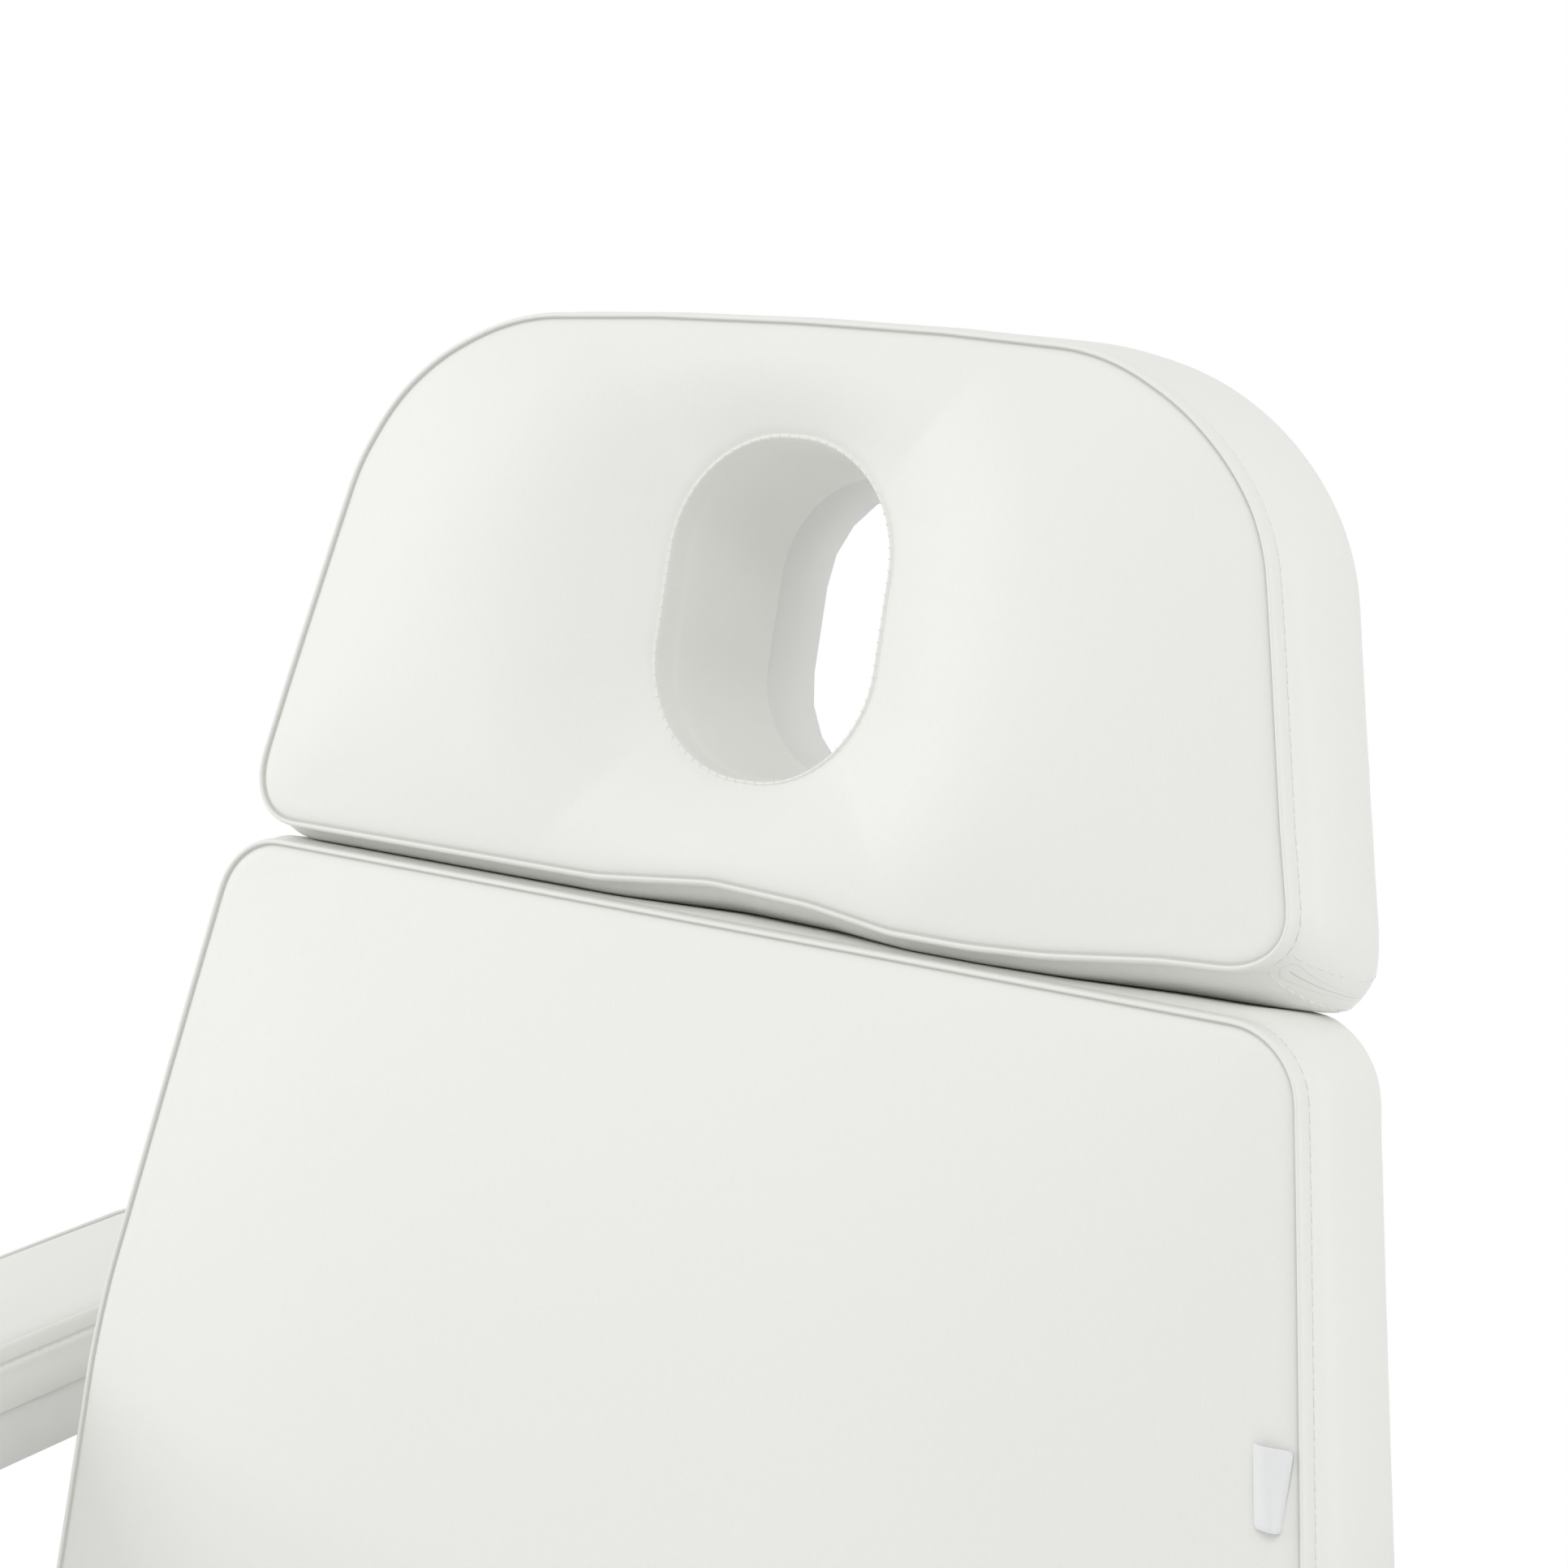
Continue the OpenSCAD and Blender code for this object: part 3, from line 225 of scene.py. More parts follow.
# %% Seam and band sections
LIP_INNER = [(-0.5, 0.1), (-0.8, -0.9), (-1.2, -1.7), (-1.9, -1.15), (-3.4, -0.35), (-6.5, 0), (-10, 0),
             (-14, 0)]
LIP_OUTER = [(0.5, 0.5), (1.1, 0.1), (1.5, -0.7), (1.75, -1.8), (1.95, -3.4), (2.05, -5.4), (2.0, -7.3),
             (1.55, -8.3), (1.15, -9.0), (1.6, -9.8), (2.4, -11.2)]
STITCH_RING = 9
BAND_DEPTHS = [15, 20, 26, 33, 41, 50, 59, 68, 76, 83, 88]
SWELL_DEPTHS = [0, 11, 15, 22, 33, 50, 59, 68, 79, 88]
SWELL_SHARES = [0.1, 0.34, 0.54, 0.77, 0.94, 1.0, 0.92, 0.62, -0.05, -1.0]
WRAP = [(2.6, -92.5), (1.6, -95.5), (1.4, -100), (1.4, -106.5), (0.4, -108.7), (-4, -109.0),
        (-18, -108.9), (-18.8, -108.3), (-19.2, -107.0)]
SHORT_WRAP = [(1.2, -32.0), (0.3, -33.6), (-1.2, -34.0), (-6, -34.1)]
THIN = 0.05
BEHIND_DEPTHS = (14, 50)
CORNER_SEAM_DIP = 0.9
# A corner seam's columns get this distance, inside the lip valley's range, so the leather paints a line of
# shade down the seam.
SEWN_LINE = -0.0015
CROWN_ENDS_AT = 40
PANEL_CELL, HEM_CELL, RIM_SPACING, PANEL_RINGS = 0.0085, 0.03, 0.002, 22
ON_PANEL, IN_WALL = -0.02, -0.03
RIM_CREST = (0.0, 0.45)
RIM = [(4.4, 0), (2.8, -0.2), (1.7, -0.75), (1.1, -0.9), (0.7, -0.3), (0.35, 0.35), RIM_CREST,
       (-0.4, 0.2), (-0.7, -0.6)]
WALL = [(-0.9, -2), (-1.1, -5), (-1.5, -12), (-2.2, -24.5), (-2.9, -37), (-3.5, -50), (-4.1, -63),
        (-4.6, -75), (-4.9, -84), (-5.0, -88.2), (-5.05, -89.6), (-4.6, -90.5), (-3.2, -90.8), (3.0, -91.0),
        (6.0, -107.0)]
DISHED_ABOVE = -20


def swell_along(swell, outward):
    """How far the foam stands out there: swell is (sides, lower end, upper end), in millimetres."""
    end = np.where(outward[:, 1] > 0, swell[2], swell[1])
    return swell[0] * outward[:, 0] ** 2 + end * outward[:, 1] ** 2


# %% [markdown]
# ## A cushion
#
# The outline's ring is the seam. Going in from it come the lip, the strip
# beside it and the panel; going out come the side band and the hem. The
# panel's height is a crown that falls away to each side, which has no creases
# where two sides meet. Two values are written on every vertex while its place
# in the flat drawing is known: the drawing's own coordinates, which the
# leather's grain follows, and its distance from the seam, which places the
# shade that the leather paints along its seams.

# %% Heights and swell
def crown_height(outline, out, crown):
    """Height of a crowned panel at (x, s): zero along its straight sides, with no crease inside."""
    side = outline[out[:, 0] > 0.85]
    side = side[np.argsort(side[:, 1])]
    low, high = outline[:, 1].min(), outline[:, 1].max()

    def height(x, s):
        u = np.clip(np.abs(x) / np.interp(s, side[:, 1], side[:, 0]), 0, 1)
        v = np.clip(np.abs(2 * (s - low) / (high - low) - 1), 0, 1)
        return crown * (1 - u ** 4) * (1 - v ** 3)
    return height


def drawn_in(x, s, corners, draw):
    """A tight cover pulls its straight sides in a little between the corners."""
    low, high = min(c[1] for c in corners), max(c[1] for c in corners)
    share = np.clip((s - low) / (high - low), 0, 1)
    return x * (1 - draw * np.sin(math.pi * share) ** 2 / max(abs(c[0]) for c in corners))


def radius_by_angle(points, middle):
    """For a ring that a middle point can see, its radius in any direction."""
    arms = points[:, :2] - middle
    angles = np.arctan2(arms[:, 1], arms[:, 0])
    order = np.argsort(angles)
    radii = np.linalg.norm(arms, axis=1)[order]
    return lambda angle: np.interp(angle, angles[order], radii, period=2 * math.pi)


# %% The cushion's builder
class Cushion:
    """A sewn cover round its foam, drawn flat, with what later steps need to know of it."""

    def __init__(self, name, section, corners, swell, crown, board, depth=0.090, draw=0.0, edge=None,
                 hole=None, spacing=0.0056, behind=None, corner_seams=False):
        self.name, self.section, self.depth, self.hole = name, section, depth, hole
        self.bm = rounded_ring(corners, spacing)
        self.grain = self.bm.verts.layers.float_vector.new("grain")
        self.from_seam = self.bm.verts.layers.float.new("from_seam")
        ring = in_order(self.bm)
        for v in ring:
            v.co.y += edge(v.co.x, v.co.y) if edge else 0
            v.co.x = drawn_in(v.co.x, v.co.y, corners, draw)
        self.seam = np.array([tuple(v.co)[:2] for v in ring])
        self.out = outward_of(self.seam)
        self.swell = swell_along(swell, self.out)
        self.rings = {"seam": ring}
        self.crown = crown_height(self.seam, self.out, crown)
        self.middle = hole["middle"] if hole else np.array([0, self.seam[:, 1].mean()])
        arms = self.seam - self.middle
        self.angle = np.arctan2(arms[:, 1], arms[:, 0])
        self.behind = self.seen_from_middle(behind, spacing) if behind else self.seam
        low_corners = [int(np.argmax(self.out @ (side, -1.0))) for side in (1, -1)]
        self.corner_columns = low_corners if corner_seams else []
        self.board = self.seen_from_middle(board, spacing)
        self.board_out = outward_of(self.board)
        if hole:
            self.rim = self.seen_from_middle(hole["corners"], RIM_SPACING)
            self.rim_out = outward_of(self.rim)
        self.grow_inside(ring)
        self.grow_outside(ring)

    def offset(self, out, up, base=1.0, ring=None):
        """Places for a whole ring, so far out of the seam and above it, in millimetres."""
        ring = self.seam if ring is None else ring
        flat = ring + self.out * (np.ones(len(self.seam)) * out)[:, None] * MM
        rise = self.height(flat[:, 0], flat[:, 1]) * base
        return np.column_stack([flat, rise + up * MM])

    def seen_from_middle(self, corners, spacing):
        """For each column, the point of another rounded outline that lies in the same direction."""
        other = rounded_ring(corners, spacing)
        radius = radius_by_angle(np.array([tuple(v.co)[:2] for v in other.verts]), self.middle)
        other.free()
        ray = np.stack([np.cos(self.angle), np.sin(self.angle)], 1)
        return self.middle + ray * radius(self.angle)[:, None]

    def height(self, x, s):
        """Height of the panel: its crown, drawn down towards the face hole where there is one."""
        rise = self.crown(x, s)
        if not self.hole:
            return rise
        arms = np.stack([x, s], -1) - self.middle
        angle, far = np.arctan2(arms[..., 1], arms[..., 0]), np.linalg.norm(arms, axis=-1)
        rim = radius_by_angle(self.rim, self.middle)(angle)
        seam = radius_by_angle(self.seam, self.middle)(angle)
        room = np.minimum(self.hole["slope"], (seam - rim) * 0.97)
        near = np.clip(1 - (far - rim) / room, 0, 1)
        blend = near * near * (1.6 - 0.6 * near)
        return rise * (1 - blend) - self.hole["dish"] * blend

    def note(self, verts, distance):
        for v in verts:
            v[self.grain] = v.co
            v[self.from_seam] = distance

    def grow(self, rings, places, distance):
        rings.append(next_ring(self.bm, rings[-1], places))
        self.note(rings[-1], distance)

    def grow_inside(self, ring):
        rings = [ring]
        for v, place in zip(ring, self.offset(0, 0.55)):
            v.co = place
        self.note(ring, 0)
        for out, up in LIP_INNER:
            self.grow(rings, self.offset(out, up), out * MM)
        if self.hole:
            self.grow_to_hole(rings)
        else:
            self.fill_panel(rings[-1])
        self.rings["inner"] = rings

    def fill_panel(self, last):
        heights = [v.co.z for v in last]
        for v in last:
            v.co.z = 0
        fresh = fill_with_cells(self.bm, last, PANEL_CELL)
        for v in fresh:
            v.co.z = float(self.height(v.co.x, v.co.y))
        for v, z in zip(last, heights):
            v.co.z = z
        self.note(fresh, ON_PANEL)

    def grow_outside(self, ring):
        rings = [ring]
        for out, up in LIP_OUTER:
            self.grow(rings, self.offset(out, up), 0.001 + abs(up) * MM)
        for depth in BAND_DEPTHS:
            if depth * MM < self.depth - 0.001:
                swell = np.interp(depth, SWELL_DEPTHS, SWELL_SHARES) * self.swell
                swell[self.corner_columns] -= CORNER_SEAM_DIP
                share = np.interp(depth, BEHIND_DEPTHS, (0, 1))
                between = self.seam * (1 - share) + self.behind * share
                self.grow(rings, self.offset(swell, -depth, max(0, 1 - depth / CROWN_ENDS_AT), between),
                          depth * MM)
                # Painted shade: the corner seam's column takes the lip valley's distance, so the leather
                # darkens it into a line.
                for column in self.corner_columns:
                    rings[-1][column][self.from_seam] = SEWN_LINE
        for out, up in WRAP if self.depth > THIN else SHORT_WRAP:
            flat = self.board + self.board_out * out * MM
            self.grow(rings, np.column_stack([flat, np.full(len(flat), up * MM)]), -up * MM)
        if self.hole:
            ends = [self.bm.edges.get((r[i - 1], r[i])) for r in (rings[-1], self.rings["inner"][-1])
                    for i in range(len(r))]
            bmesh.ops.bridge_loops(self.bm, edges=ends)
        else:
            fill_with_cells(self.bm, rings[-1], HEM_CELL)
        self.rings["outer"] = rings
        bmesh.ops.recalc_face_normals(self.bm, faces=self.bm.faces[:])

    def grow_to_hole(self, rings):
        start = np.array([tuple(v.co)[:2] for v in rings[-1]])
        near = self.rim + self.rim_out * RIM[0][0] * MM
        for k in range(1, PANEL_RINGS + 1):
            flat = start * (1 - k / PANEL_RINGS) + near * k / PANEL_RINGS
            self.grow(rings, np.column_stack([flat, self.height(flat[:, 0], flat[:, 1])]), ON_PANEL)
        for out, up in RIM[1:]:
            flat = self.rim + self.rim_out * out * MM
            height = self.height(flat[:, 0], flat[:, 1]) + up * MM
            self.grow(rings, np.column_stack([flat, height]), ON_PANEL)
            if (out, up) == RIM_CREST:
                self.rings["rim"] = rings[-1]
        for out, z in WALL:
            flat = self.rim + self.rim_out * out * MM
            z = z if z < DISHED_ABOVE else z - self.hole["dish"] / MM
            self.grow(rings, np.column_stack([flat, np.full(len(flat), z * MM)]), IN_WALL)

# %% [markdown]
# ## The six cushions
#
# Sizes are the frame's. The photograph settles the curves: the headrest's
# lower edge isn't quite straight, its upper edge is a slight arch, the backrest
# flares, and the two cushions swell most where they press against each other.
# Each swell is (sides, lower end, upper end), in millimetres.

# %% The cushions' patterns
def mirrored(right):
    """Corners on the right side, from low to high, and their mirror images, as one ring."""
    return right + [(-x, s, radius) for x, s, radius in reversed(right)]


def headrest_edge(x, s):
    """How far the headrest's edge strays from the pattern: a wave below, a slight arch above."""
    wave = np.interp(x, [-0.245, -0.06, 0, 0.049, 0.087, 0.123, 0.158, 0.207, 0.245],
                     [-4.0, -3.0, 3.0, 1.0, -4.0, -4.0, -2.0, 4.0, 6.0])
    arch = np.interp(abs(x), [0, 0.07, 0.12, 0.17, 0.22], [2.5, 1.5, -1.0, -3.5, -3.0])
    low, high = np.clip(1 - (s - 0.536) / 0.06, 0, 1), np.clip((s - 0.66) / 0.08, 0, 1)
    return float(wave * low + arch * high) * MM


ARM_X, ARM_REAR, ARM_LEN, ARM_TOP = 0.400, 0.482, 0.540, 0.835
for side, sign in (("left", 1), ("right", -1)):
    SECTIONS["arm_" + side] = section_matrix((sign * ARM_X, 0, 0), (0, 1, 0), ARM_TOP)

cushions = {
    "headrest": Cushion("headrest", "head", mirrored([(0.261, 0.536, 0.022), (0.209, 0.768, 0.105)]),
                        (10, 12, 8), 0.011, mirrored([(0.233, 0.540, 0.012), (0.181, 0.752, 0.077)]),
                        edge=headrest_edge, corner_seams=True,
                        behind=mirrored([(0.262, 0.537, 0.012), (0.210, 0.766, 0.105)]),
                        hole={"middle": np.array([0, 0.653]), "dish": 0.012, "slope": 0.085,
                              "corners": mirrored([(0.055, 0.5815, 0.052), (0.055, 0.7245, 0.052)])}),
    "backrest": Cushion("backrest", "back", mirrored([(0.309, 0.022, 0.030), (0.309, 0.291, 0.300),
                                                      (0.265, 0.522, 0.030)]), (9, 9, 11), 0.016,
                        mirrored([(0.293, 0.038, 0.014), (0.293, 0.291, 0.300), (0.249, 0.506, 0.014)]),
                        draw=0.002, behind=mirrored([(0.309, 0.022, 0.030), (0.309, 0.291, 0.300),
                                                     (0.264, 0.520, 0.027)])),
    "seat": Cushion("seat", "seat", mirrored([(0.309, -0.240, 0.030), (0.309, 0.240, 0.030)]),
                    (9, 9, 9), 0.018, mirrored([(0.293, -0.224, 0.014), (0.293, 0.224, 0.014)]), draw=0.002),
    "leg_rest": Cushion("leg_rest", "leg", mirrored([(0.309, -0.482, 0.075), (0.309, -0.022, 0.030)]),
                        (9, 9, 9), 0.014, mirrored([(0.293, -0.466, 0.059), (0.293, -0.038, 0.014)]),
                        draw=0.002),
}
for side in ("left", "right"):
    cushions["armrest_" + side] = Cushion(
        "armrest_" + side, "arm_" + side,
        mirrored([(0.044, ARM_REAR - ARM_LEN, 0.024), (0.044, ARM_REAR, 0.024)]), (2, 2, 2), 0.005,
        mirrored([(0.043, ARM_REAR - ARM_LEN + 0.001, 0.023), (0.043, ARM_REAR - 0.001, 0.023)]),
        depth=0.034)
for cushion in cushions.values():
    print(cushion.name, len(cushion.seam), "columns,", len(cushion.bm.faces), "faces")

# %% [markdown]
# ## Stuffing
#
# Foam under a tight cover pushes out evenly, and only the sewn lines and the
# board hold it back. Cloth with a pressure inside it finds that shape. Each
# cover is copied, remeshed into even small faces, held at its seams and board,
# and blown up for twenty steps. The copies' movement is then read back on to
# the sewn covers, with a limit, so the fine seams stay as they were drawn.

# %% Cloth, blown up and read back
VOXEL = 0.006
PRESSURE = 9.0
SIM_FRAMES = 20
BAND_CAP, PANEL_CAP = 0.0035, 0.006
SEWN_REACH, BOARD_REACH, WALL_REACH, HOLE_SQUEEZE = 0.008, 0.004, 0.057, 0.8
BAND_FROM, THIN_SHARE = 0.006, 0.5
FADE_START, FADE_LENGTH = 0.002, 0.014


def stand_in(cushion):
    """An evenly meshed copy of the cover, ready for the cloth simulation."""
    mesh = bpy.data.meshes.new("stuffing")
    cushion.bm.to_mesh(mesh)
    obj = placed("stuffing", mesh)
    remesh = obj.modifiers.new("even", "REMESH")
    remesh.mode, remesh.voxel_size = "VOXEL", VOXEL
    even = bpy.data.meshes.new_from_object(obj.evaluated_get(bpy.context.evaluated_depsgraph_get()))
    obj.modifiers.clear()
    obj.data = even
    return obj


def coords(mesh):
    flat = np.zeros(len(mesh.vertices) * 3, np.float32)
    mesh.vertices.foreach_get("co", flat)
    return flat.reshape(-1, 3).astype(float)


def tree_of(points):
    tree = KDTree(len(points))
    for i, point in enumerate(points):
        tree.insert(point, i)
    tree.balance()
    return tree


def hold(cushion, obj):
    """Holds the cover where it is sewn or stapled."""
    sewn = [v.co.copy() for v in cushion.rings["seam"]]
    if cushion.hole:
        sewn += [v.co.copy() for v in cushion.rings["rim"]]
    tree = tree_of(sewn)
    group = obj.vertex_groups.new(name="held")
    board = -(cushion.depth - BOARD_REACH)
    for i, co in enumerate(coords(obj.data)):
        near = tree.find(co)[2] < SEWN_REACH
        in_wall = (cushion.hole
                   and np.hypot(co[0], (co[1] - cushion.hole["middle"][1]) * HOLE_SQUEEZE) < WALL_REACH)
        if near or co[2] < board or in_wall:
            group.add([i], 1.0, "REPLACE")
    cloth = obj.modifiers.new("cloth", "CLOTH")
    cloth.settings.vertex_group_mass = "held"
    cloth.settings.use_pressure = True
    cloth.settings.uniform_pressure_force = PRESSURE
    cloth.settings.effector_weights.gravity = 0
    cloth.settings.quality = 5
    cloth.point_cache.frame_start, cloth.point_cache.frame_end = 1, SIM_FRAMES
    return tree


def stuff(cushions):
    """Blows every cover up at once, and moves the sewn covers as their copies moved."""
    copies = {c: stand_in(c) for c in cushions}
    starts = {c: coords(o.data) for c, o in copies.items()}
    sewn = {c: hold(c, o) for c, o in copies.items()}
    for step in range(1, SIM_FRAMES + 1):
        bpy.context.scene.frame_set(step)
    graph = bpy.context.evaluated_depsgraph_get()
    for cushion, obj in copies.items():
        blown = obj.evaluated_get(graph).to_mesh()
        move = coords(blown) - starts[cushion]
        length = np.linalg.norm(move, axis=1)
        depth = -starts[cushion][:, 2]
        cap = np.where(depth > BAND_FROM, BAND_CAP, PANEL_CAP)
        cap *= THIN_SHARE if cushion.depth < THIN else 1
        move *= (cap * np.tanh(length / cap) / np.maximum(length, 1e-9))[:, None]
        tree = tree_of(starts[cushion])
        for vert in cushion.bm.verts:
            near = tree.find_n(vert.co, 4)
            weights = np.array([1 / (n[2] + 1e-4) for n in near])
            shift = (move[[n[1] for n in near]] * weights[:, None]).sum(0) / weights.sum()
            fade = np.clip((sewn[cushion].find(vert.co)[2] - FADE_START) / FADE_LENGTH, 0, 1)
            vert.co += Vector(shift * fade * fade * (3 - 2 * fade))
        print(cushion.name, "swelled up to", round(float(np.linalg.norm(move, axis=1).max()) / MM, 1), "mm")
    for obj in copies.values():
        bpy.data.objects.remove(obj)
    bpy.context.scene.frame_set(1)


stuff(list(cushions.values()))

# %% [markdown]
# ## Where two cushions press together
#
# The headrest rests against the backrest. Between their seams lies a line that
# neither may cross; near it each band is pressed flat instead of bulging, which
# makes the thin dark line of contact that the photograph shows.

# %% The pressed bands
TOUCH_GAP = 0.0001
CONTACT_SHARE = 0.3
BAND_TOP, BAND_REACH = 0.003, 0.05
PRESSED = 0.0004


def pressed(distance):
    """Keeps a distance above zero, turning smoothly into a flat where it would pass it."""
    return PRESSED * np.logaddexp(0, distance / PRESSED)


def contact_line():
    """Between the two facing seams, nearer to the backrest's, as a function of x."""
    lower, upper = cushions["backrest"], cushions["headrest"]
    tops = lower.seam[lower.out[:, 1] > 0.5]
    lows = upper.seam[upper.out[:, 1] < -0.5]
    tops, lows = tops[np.argsort(tops[:, 0])], lows[np.argsort(lows[:, 0])]
    return lambda x: (np.interp(x, tops[:, 0], tops[:, 1]) * (1 - CONTACT_SHARE)
                      + np.interp(x, lows[:, 0], lows[:, 1]) * CONTACT_SHARE)


contact = contact_line()
for name, side in (("headrest", 1), ("backrest", -1)):
    for vert in cushions[name].bm.verts:
        if vert.co.z < BAND_TOP and abs(vert.co.y - contact(vert.co.x)) < BAND_REACH:
            line = contact(vert.co.x) + side * TOUCH_GAP
            vert.co.y = line + side * pressed(side * (vert.co.y - line))
print("contact line from s", round(float(contact(-0.24)), 4), "to", round(float(contact(0.24)), 4))

# %% [markdown]
# ## Finishes
#
# Every surface is a mixture of a colour, a roughness and a small relief, each
# driven by patterns worked out at every point. Writing those as sums keeps
# them readable, so a wrapper round a socket answers to + - and *.

# %% Shader sums
class Wire:
    """A number that varies over a surface: the output of a shader node."""

    def __init__(self, finish, socket):
        self.finish, self.socket = finish, socket

    def math(self, operation, *values):
        return self.finish.node("ShaderNodeMath", {"operation": operation}, dict(enumerate(values)))

    def __add__(self, other):
        return self.math("ADD", self, other)

    def __radd__(self, other):
        return self.math("ADD", other, self)

    def __sub__(self, other):
        return self.math("SUBTRACT", self, other)

    def __rsub__(self, other):
        return self.math("SUBTRACT", other, self)

    def __mul__(self, other):
        return self.math("MULTIPLY", self, other)

    def __rmul__(self, other):
        return self.math("MULTIPLY", other, self)

    def ramp(self, low, high):
        """0 below low, 1 above high, smooth between."""
        return self.finish.node("ShaderNodeMapRange", {"interpolation_type": "SMOOTHSTEP"},
                                {"Value": self, "From Min": low, "From Max": high})


class Finish:
    """A material, built node by node round one Principled shader."""

    def __init__(self, name, color, roughness, metallic=0.0):
        self.material = bpy.data.materials.new(name)
        self.material.use_nodes = True
        self.tree = self.material.node_tree
        self.shader = self.tree.nodes["Principled BSDF"]
        self.set("Base Color", color)
        self.set("Roughness", roughness)
        self.set("Metallic", metallic)
        self.material.diffuse_color = (*color, 1)

    def set(self, socket, value):
        self.plug(self.shader.inputs[socket], value)

    def plug(self, socket, value):
        if isinstance(value, Wire):
            self.tree.links.new(value.socket, socket)
        elif hasattr(value, "__len__") and len(value) == 3 and socket.type == "RGBA":
            socket.default_value = (*value, 1)
        else:
            socket.default_value = value

    def node(self, kind, settings=None, inputs=None, output=0):
        """A node of that type, with its settings made first and then its sockets filled."""
        made = self.tree.nodes.new(kind)
        for key, value in (settings or {}).items():
            setattr(made, key, value)
        for socket, value in (inputs or {}).items():
            self.plug(made.inputs[socket], value)
        return Wire(self, made.outputs[output])

    def attribute(self, name, output="Vector"):
        return self.node("ShaderNodeAttribute", {"attribute_name": name}, output=output)

    def place(self):
        return self.node("ShaderNodeTexCoord", output="Object")

    def stretched(self, vector, scale):
        return self.node("ShaderNodeMapping", inputs={"Vector": vector, "Scale": scale})

    def noise(self, vector, scale, detail=3.0, roughness=0.5):
        return self.node("ShaderNodeTexNoise", inputs={"Vector": vector, "Scale": scale, "Detail": detail,
                                                       "Roughness": roughness})

    def mix(self, factor, first, second):
        return self.node("ShaderNodeMix", {"data_type": "RGBA"}, {0: factor, 6: first, 7: second}, 2)

    def relief(self, height, depth, strength=1.0):
        self.set("Normal", self.node("ShaderNodeBump", inputs={"Height": height, "Distance": depth,
                                                               "Strength": strength}))


# %% [markdown]
# ## White upholstery leather
#
# The real cover is a soft coated leather: nearly white, a little warm, with a
# fine grain whose dents are a millimetre wide and a few long, and all run the
# way the hide was stretched. Noise on coordinates squeezed along the cushion
# gives those. The strip between seam and topstitch, the valley inside the seam's
# lip and the stitches' groove are painted shade: the colour is made greyer there,
# the strip a touch and the valley and groove more.

# %% Leather
LEATHER = (0.865, 0.868, 0.835)
# LEATHER_SHADE is the darker end of the leather's colour mix: the painted seam shade and the grain's own
# tone lean towards it.
LEATHER_SHADE = (0.62, 0.62, 0.59)


def leather():
    finish = Finish("white_upholstery_leather", LEATHER, 0.42)
    grain = finish.attribute("grain")
    distance = finish.attribute("from_seam", "Fac")
    streaks = finish.noise(finish.stretched(grain, (1, 0.33, 0.6)), 900, 4, 0.6)
    pores = finish.noise(finish.stretched(grain, (1, 0.5, 1)), 2600, 2)
    broad = finish.noise(grain, 9, 2)
    # Painted shade: the strip beside the seam, the valley inside the lip and the stitch groove are darkened
    # in the colour; broad and streaks are the leather's own tone.
    strip = distance.ramp(0.0005, 0.002) * (1 - distance.ramp(0.0085, 0.0105))
    valley = distance.ramp(-0.0022, -0.0010) * (1 - distance.ramp(-0.0009, -0.0003))
    groove = distance.ramp(0.0078, 0.0088) * (1 - distance.ramp(0.0092, 0.0102))
    shade = 0.05 * strip + 0.85 * valley + 0.30 * groove + 0.06 * (broad - 0.5) + 0.14 * (streaks - 0.5)
    finish.set("Base Color", finish.mix(shade, LEATHER, LEATHER_SHADE))
    finish.set("Roughness", 0.36 + 0.14 * streaks + 0.06 * broad)
    finish.relief(streaks + 0.35 * pores, 0.00022, 0.55)
    finish.shader.inputs["Specular IOR Level"].default_value = 0.42
    return finish.material


# %% [markdown]
# ## Paint, steel, wood, plastic, rubber and cloth
#
# Powder paint has the shallow ripple called orange peel. Edges that were
# bevelled carry a "wear" value, so paint can thin and metal can brighten
# there. Plated steel shows faint wiping marks, turned steel shows rings of
# fine scratches, and plywood shows its face grain and the stripes of its
# plies. Each pattern is sized in metres, like everything else.

# %% The other finishes
def painted():
    finish = Finish("white_powder_paint", (0.80, 0.805, 0.785), 0.34)
    place, wear = finish.place(), finish.attribute("wear", "Fac")
    peel = finish.noise(place, 420, 2)
    dust = finish.noise(place, 14, 4, 0.6)
    rubbed = (wear * finish.noise(place, 160, 3)).ramp(0.35, 0.8)
    soiled = (1 - finish.node("ShaderNodeSeparateXYZ", inputs={0: place}, output=2).ramp(0.0, 0.05)) * dust
    finish.set("Base Color", finish.mix(0.35 * rubbed + 0.22 * soiled + 0.08 * dust, (0.80, 0.805, 0.785),
                                        (0.56, 0.56, 0.54)))
    finish.set("Roughness", 0.27 + 0.14 * dust + 0.12 * rubbed)
    finish.relief(peel, 0.00012, 0.4)
    return finish.material


def chromed():
    finish = Finish("polished_chrome", (0.78, 0.79, 0.80), 0.08, 1.0)
    place = finish.place()
    wipes = finish.noise(finish.stretched(place, (1, 0.15, 0.15)), 120, 4, 0.7)
    finish.set("Roughness", 0.05 + 0.12 * wipes)
    finish.set("Base Color", finish.mix(wipes, (0.80, 0.81, 0.82), (0.72, 0.73, 0.75)))
    finish.relief(finish.noise(place, 60, 1), 0.00003, 0.3)
    return finish.material


def plated():
    finish = Finish("zinc_plated_steel", (0.62, 0.63, 0.645), 0.35, 1.0)
    place, wear = finish.place(), finish.attribute("wear", "Fac")
    turned = finish.noise(finish.stretched(place, (1, 1, 0.08)), 1500, 3, 0.6)
    cloud = finish.noise(place, 90, 3)
    finish.set("Base Color", finish.mix(0.6 * cloud + 0.4 * wear, (0.58, 0.59, 0.60), (0.70, 0.71, 0.72)))
    finish.set("Roughness", 0.26 + 0.2 * turned)
    finish.relief(turned, 0.00005, 0.35)
    return finish.material


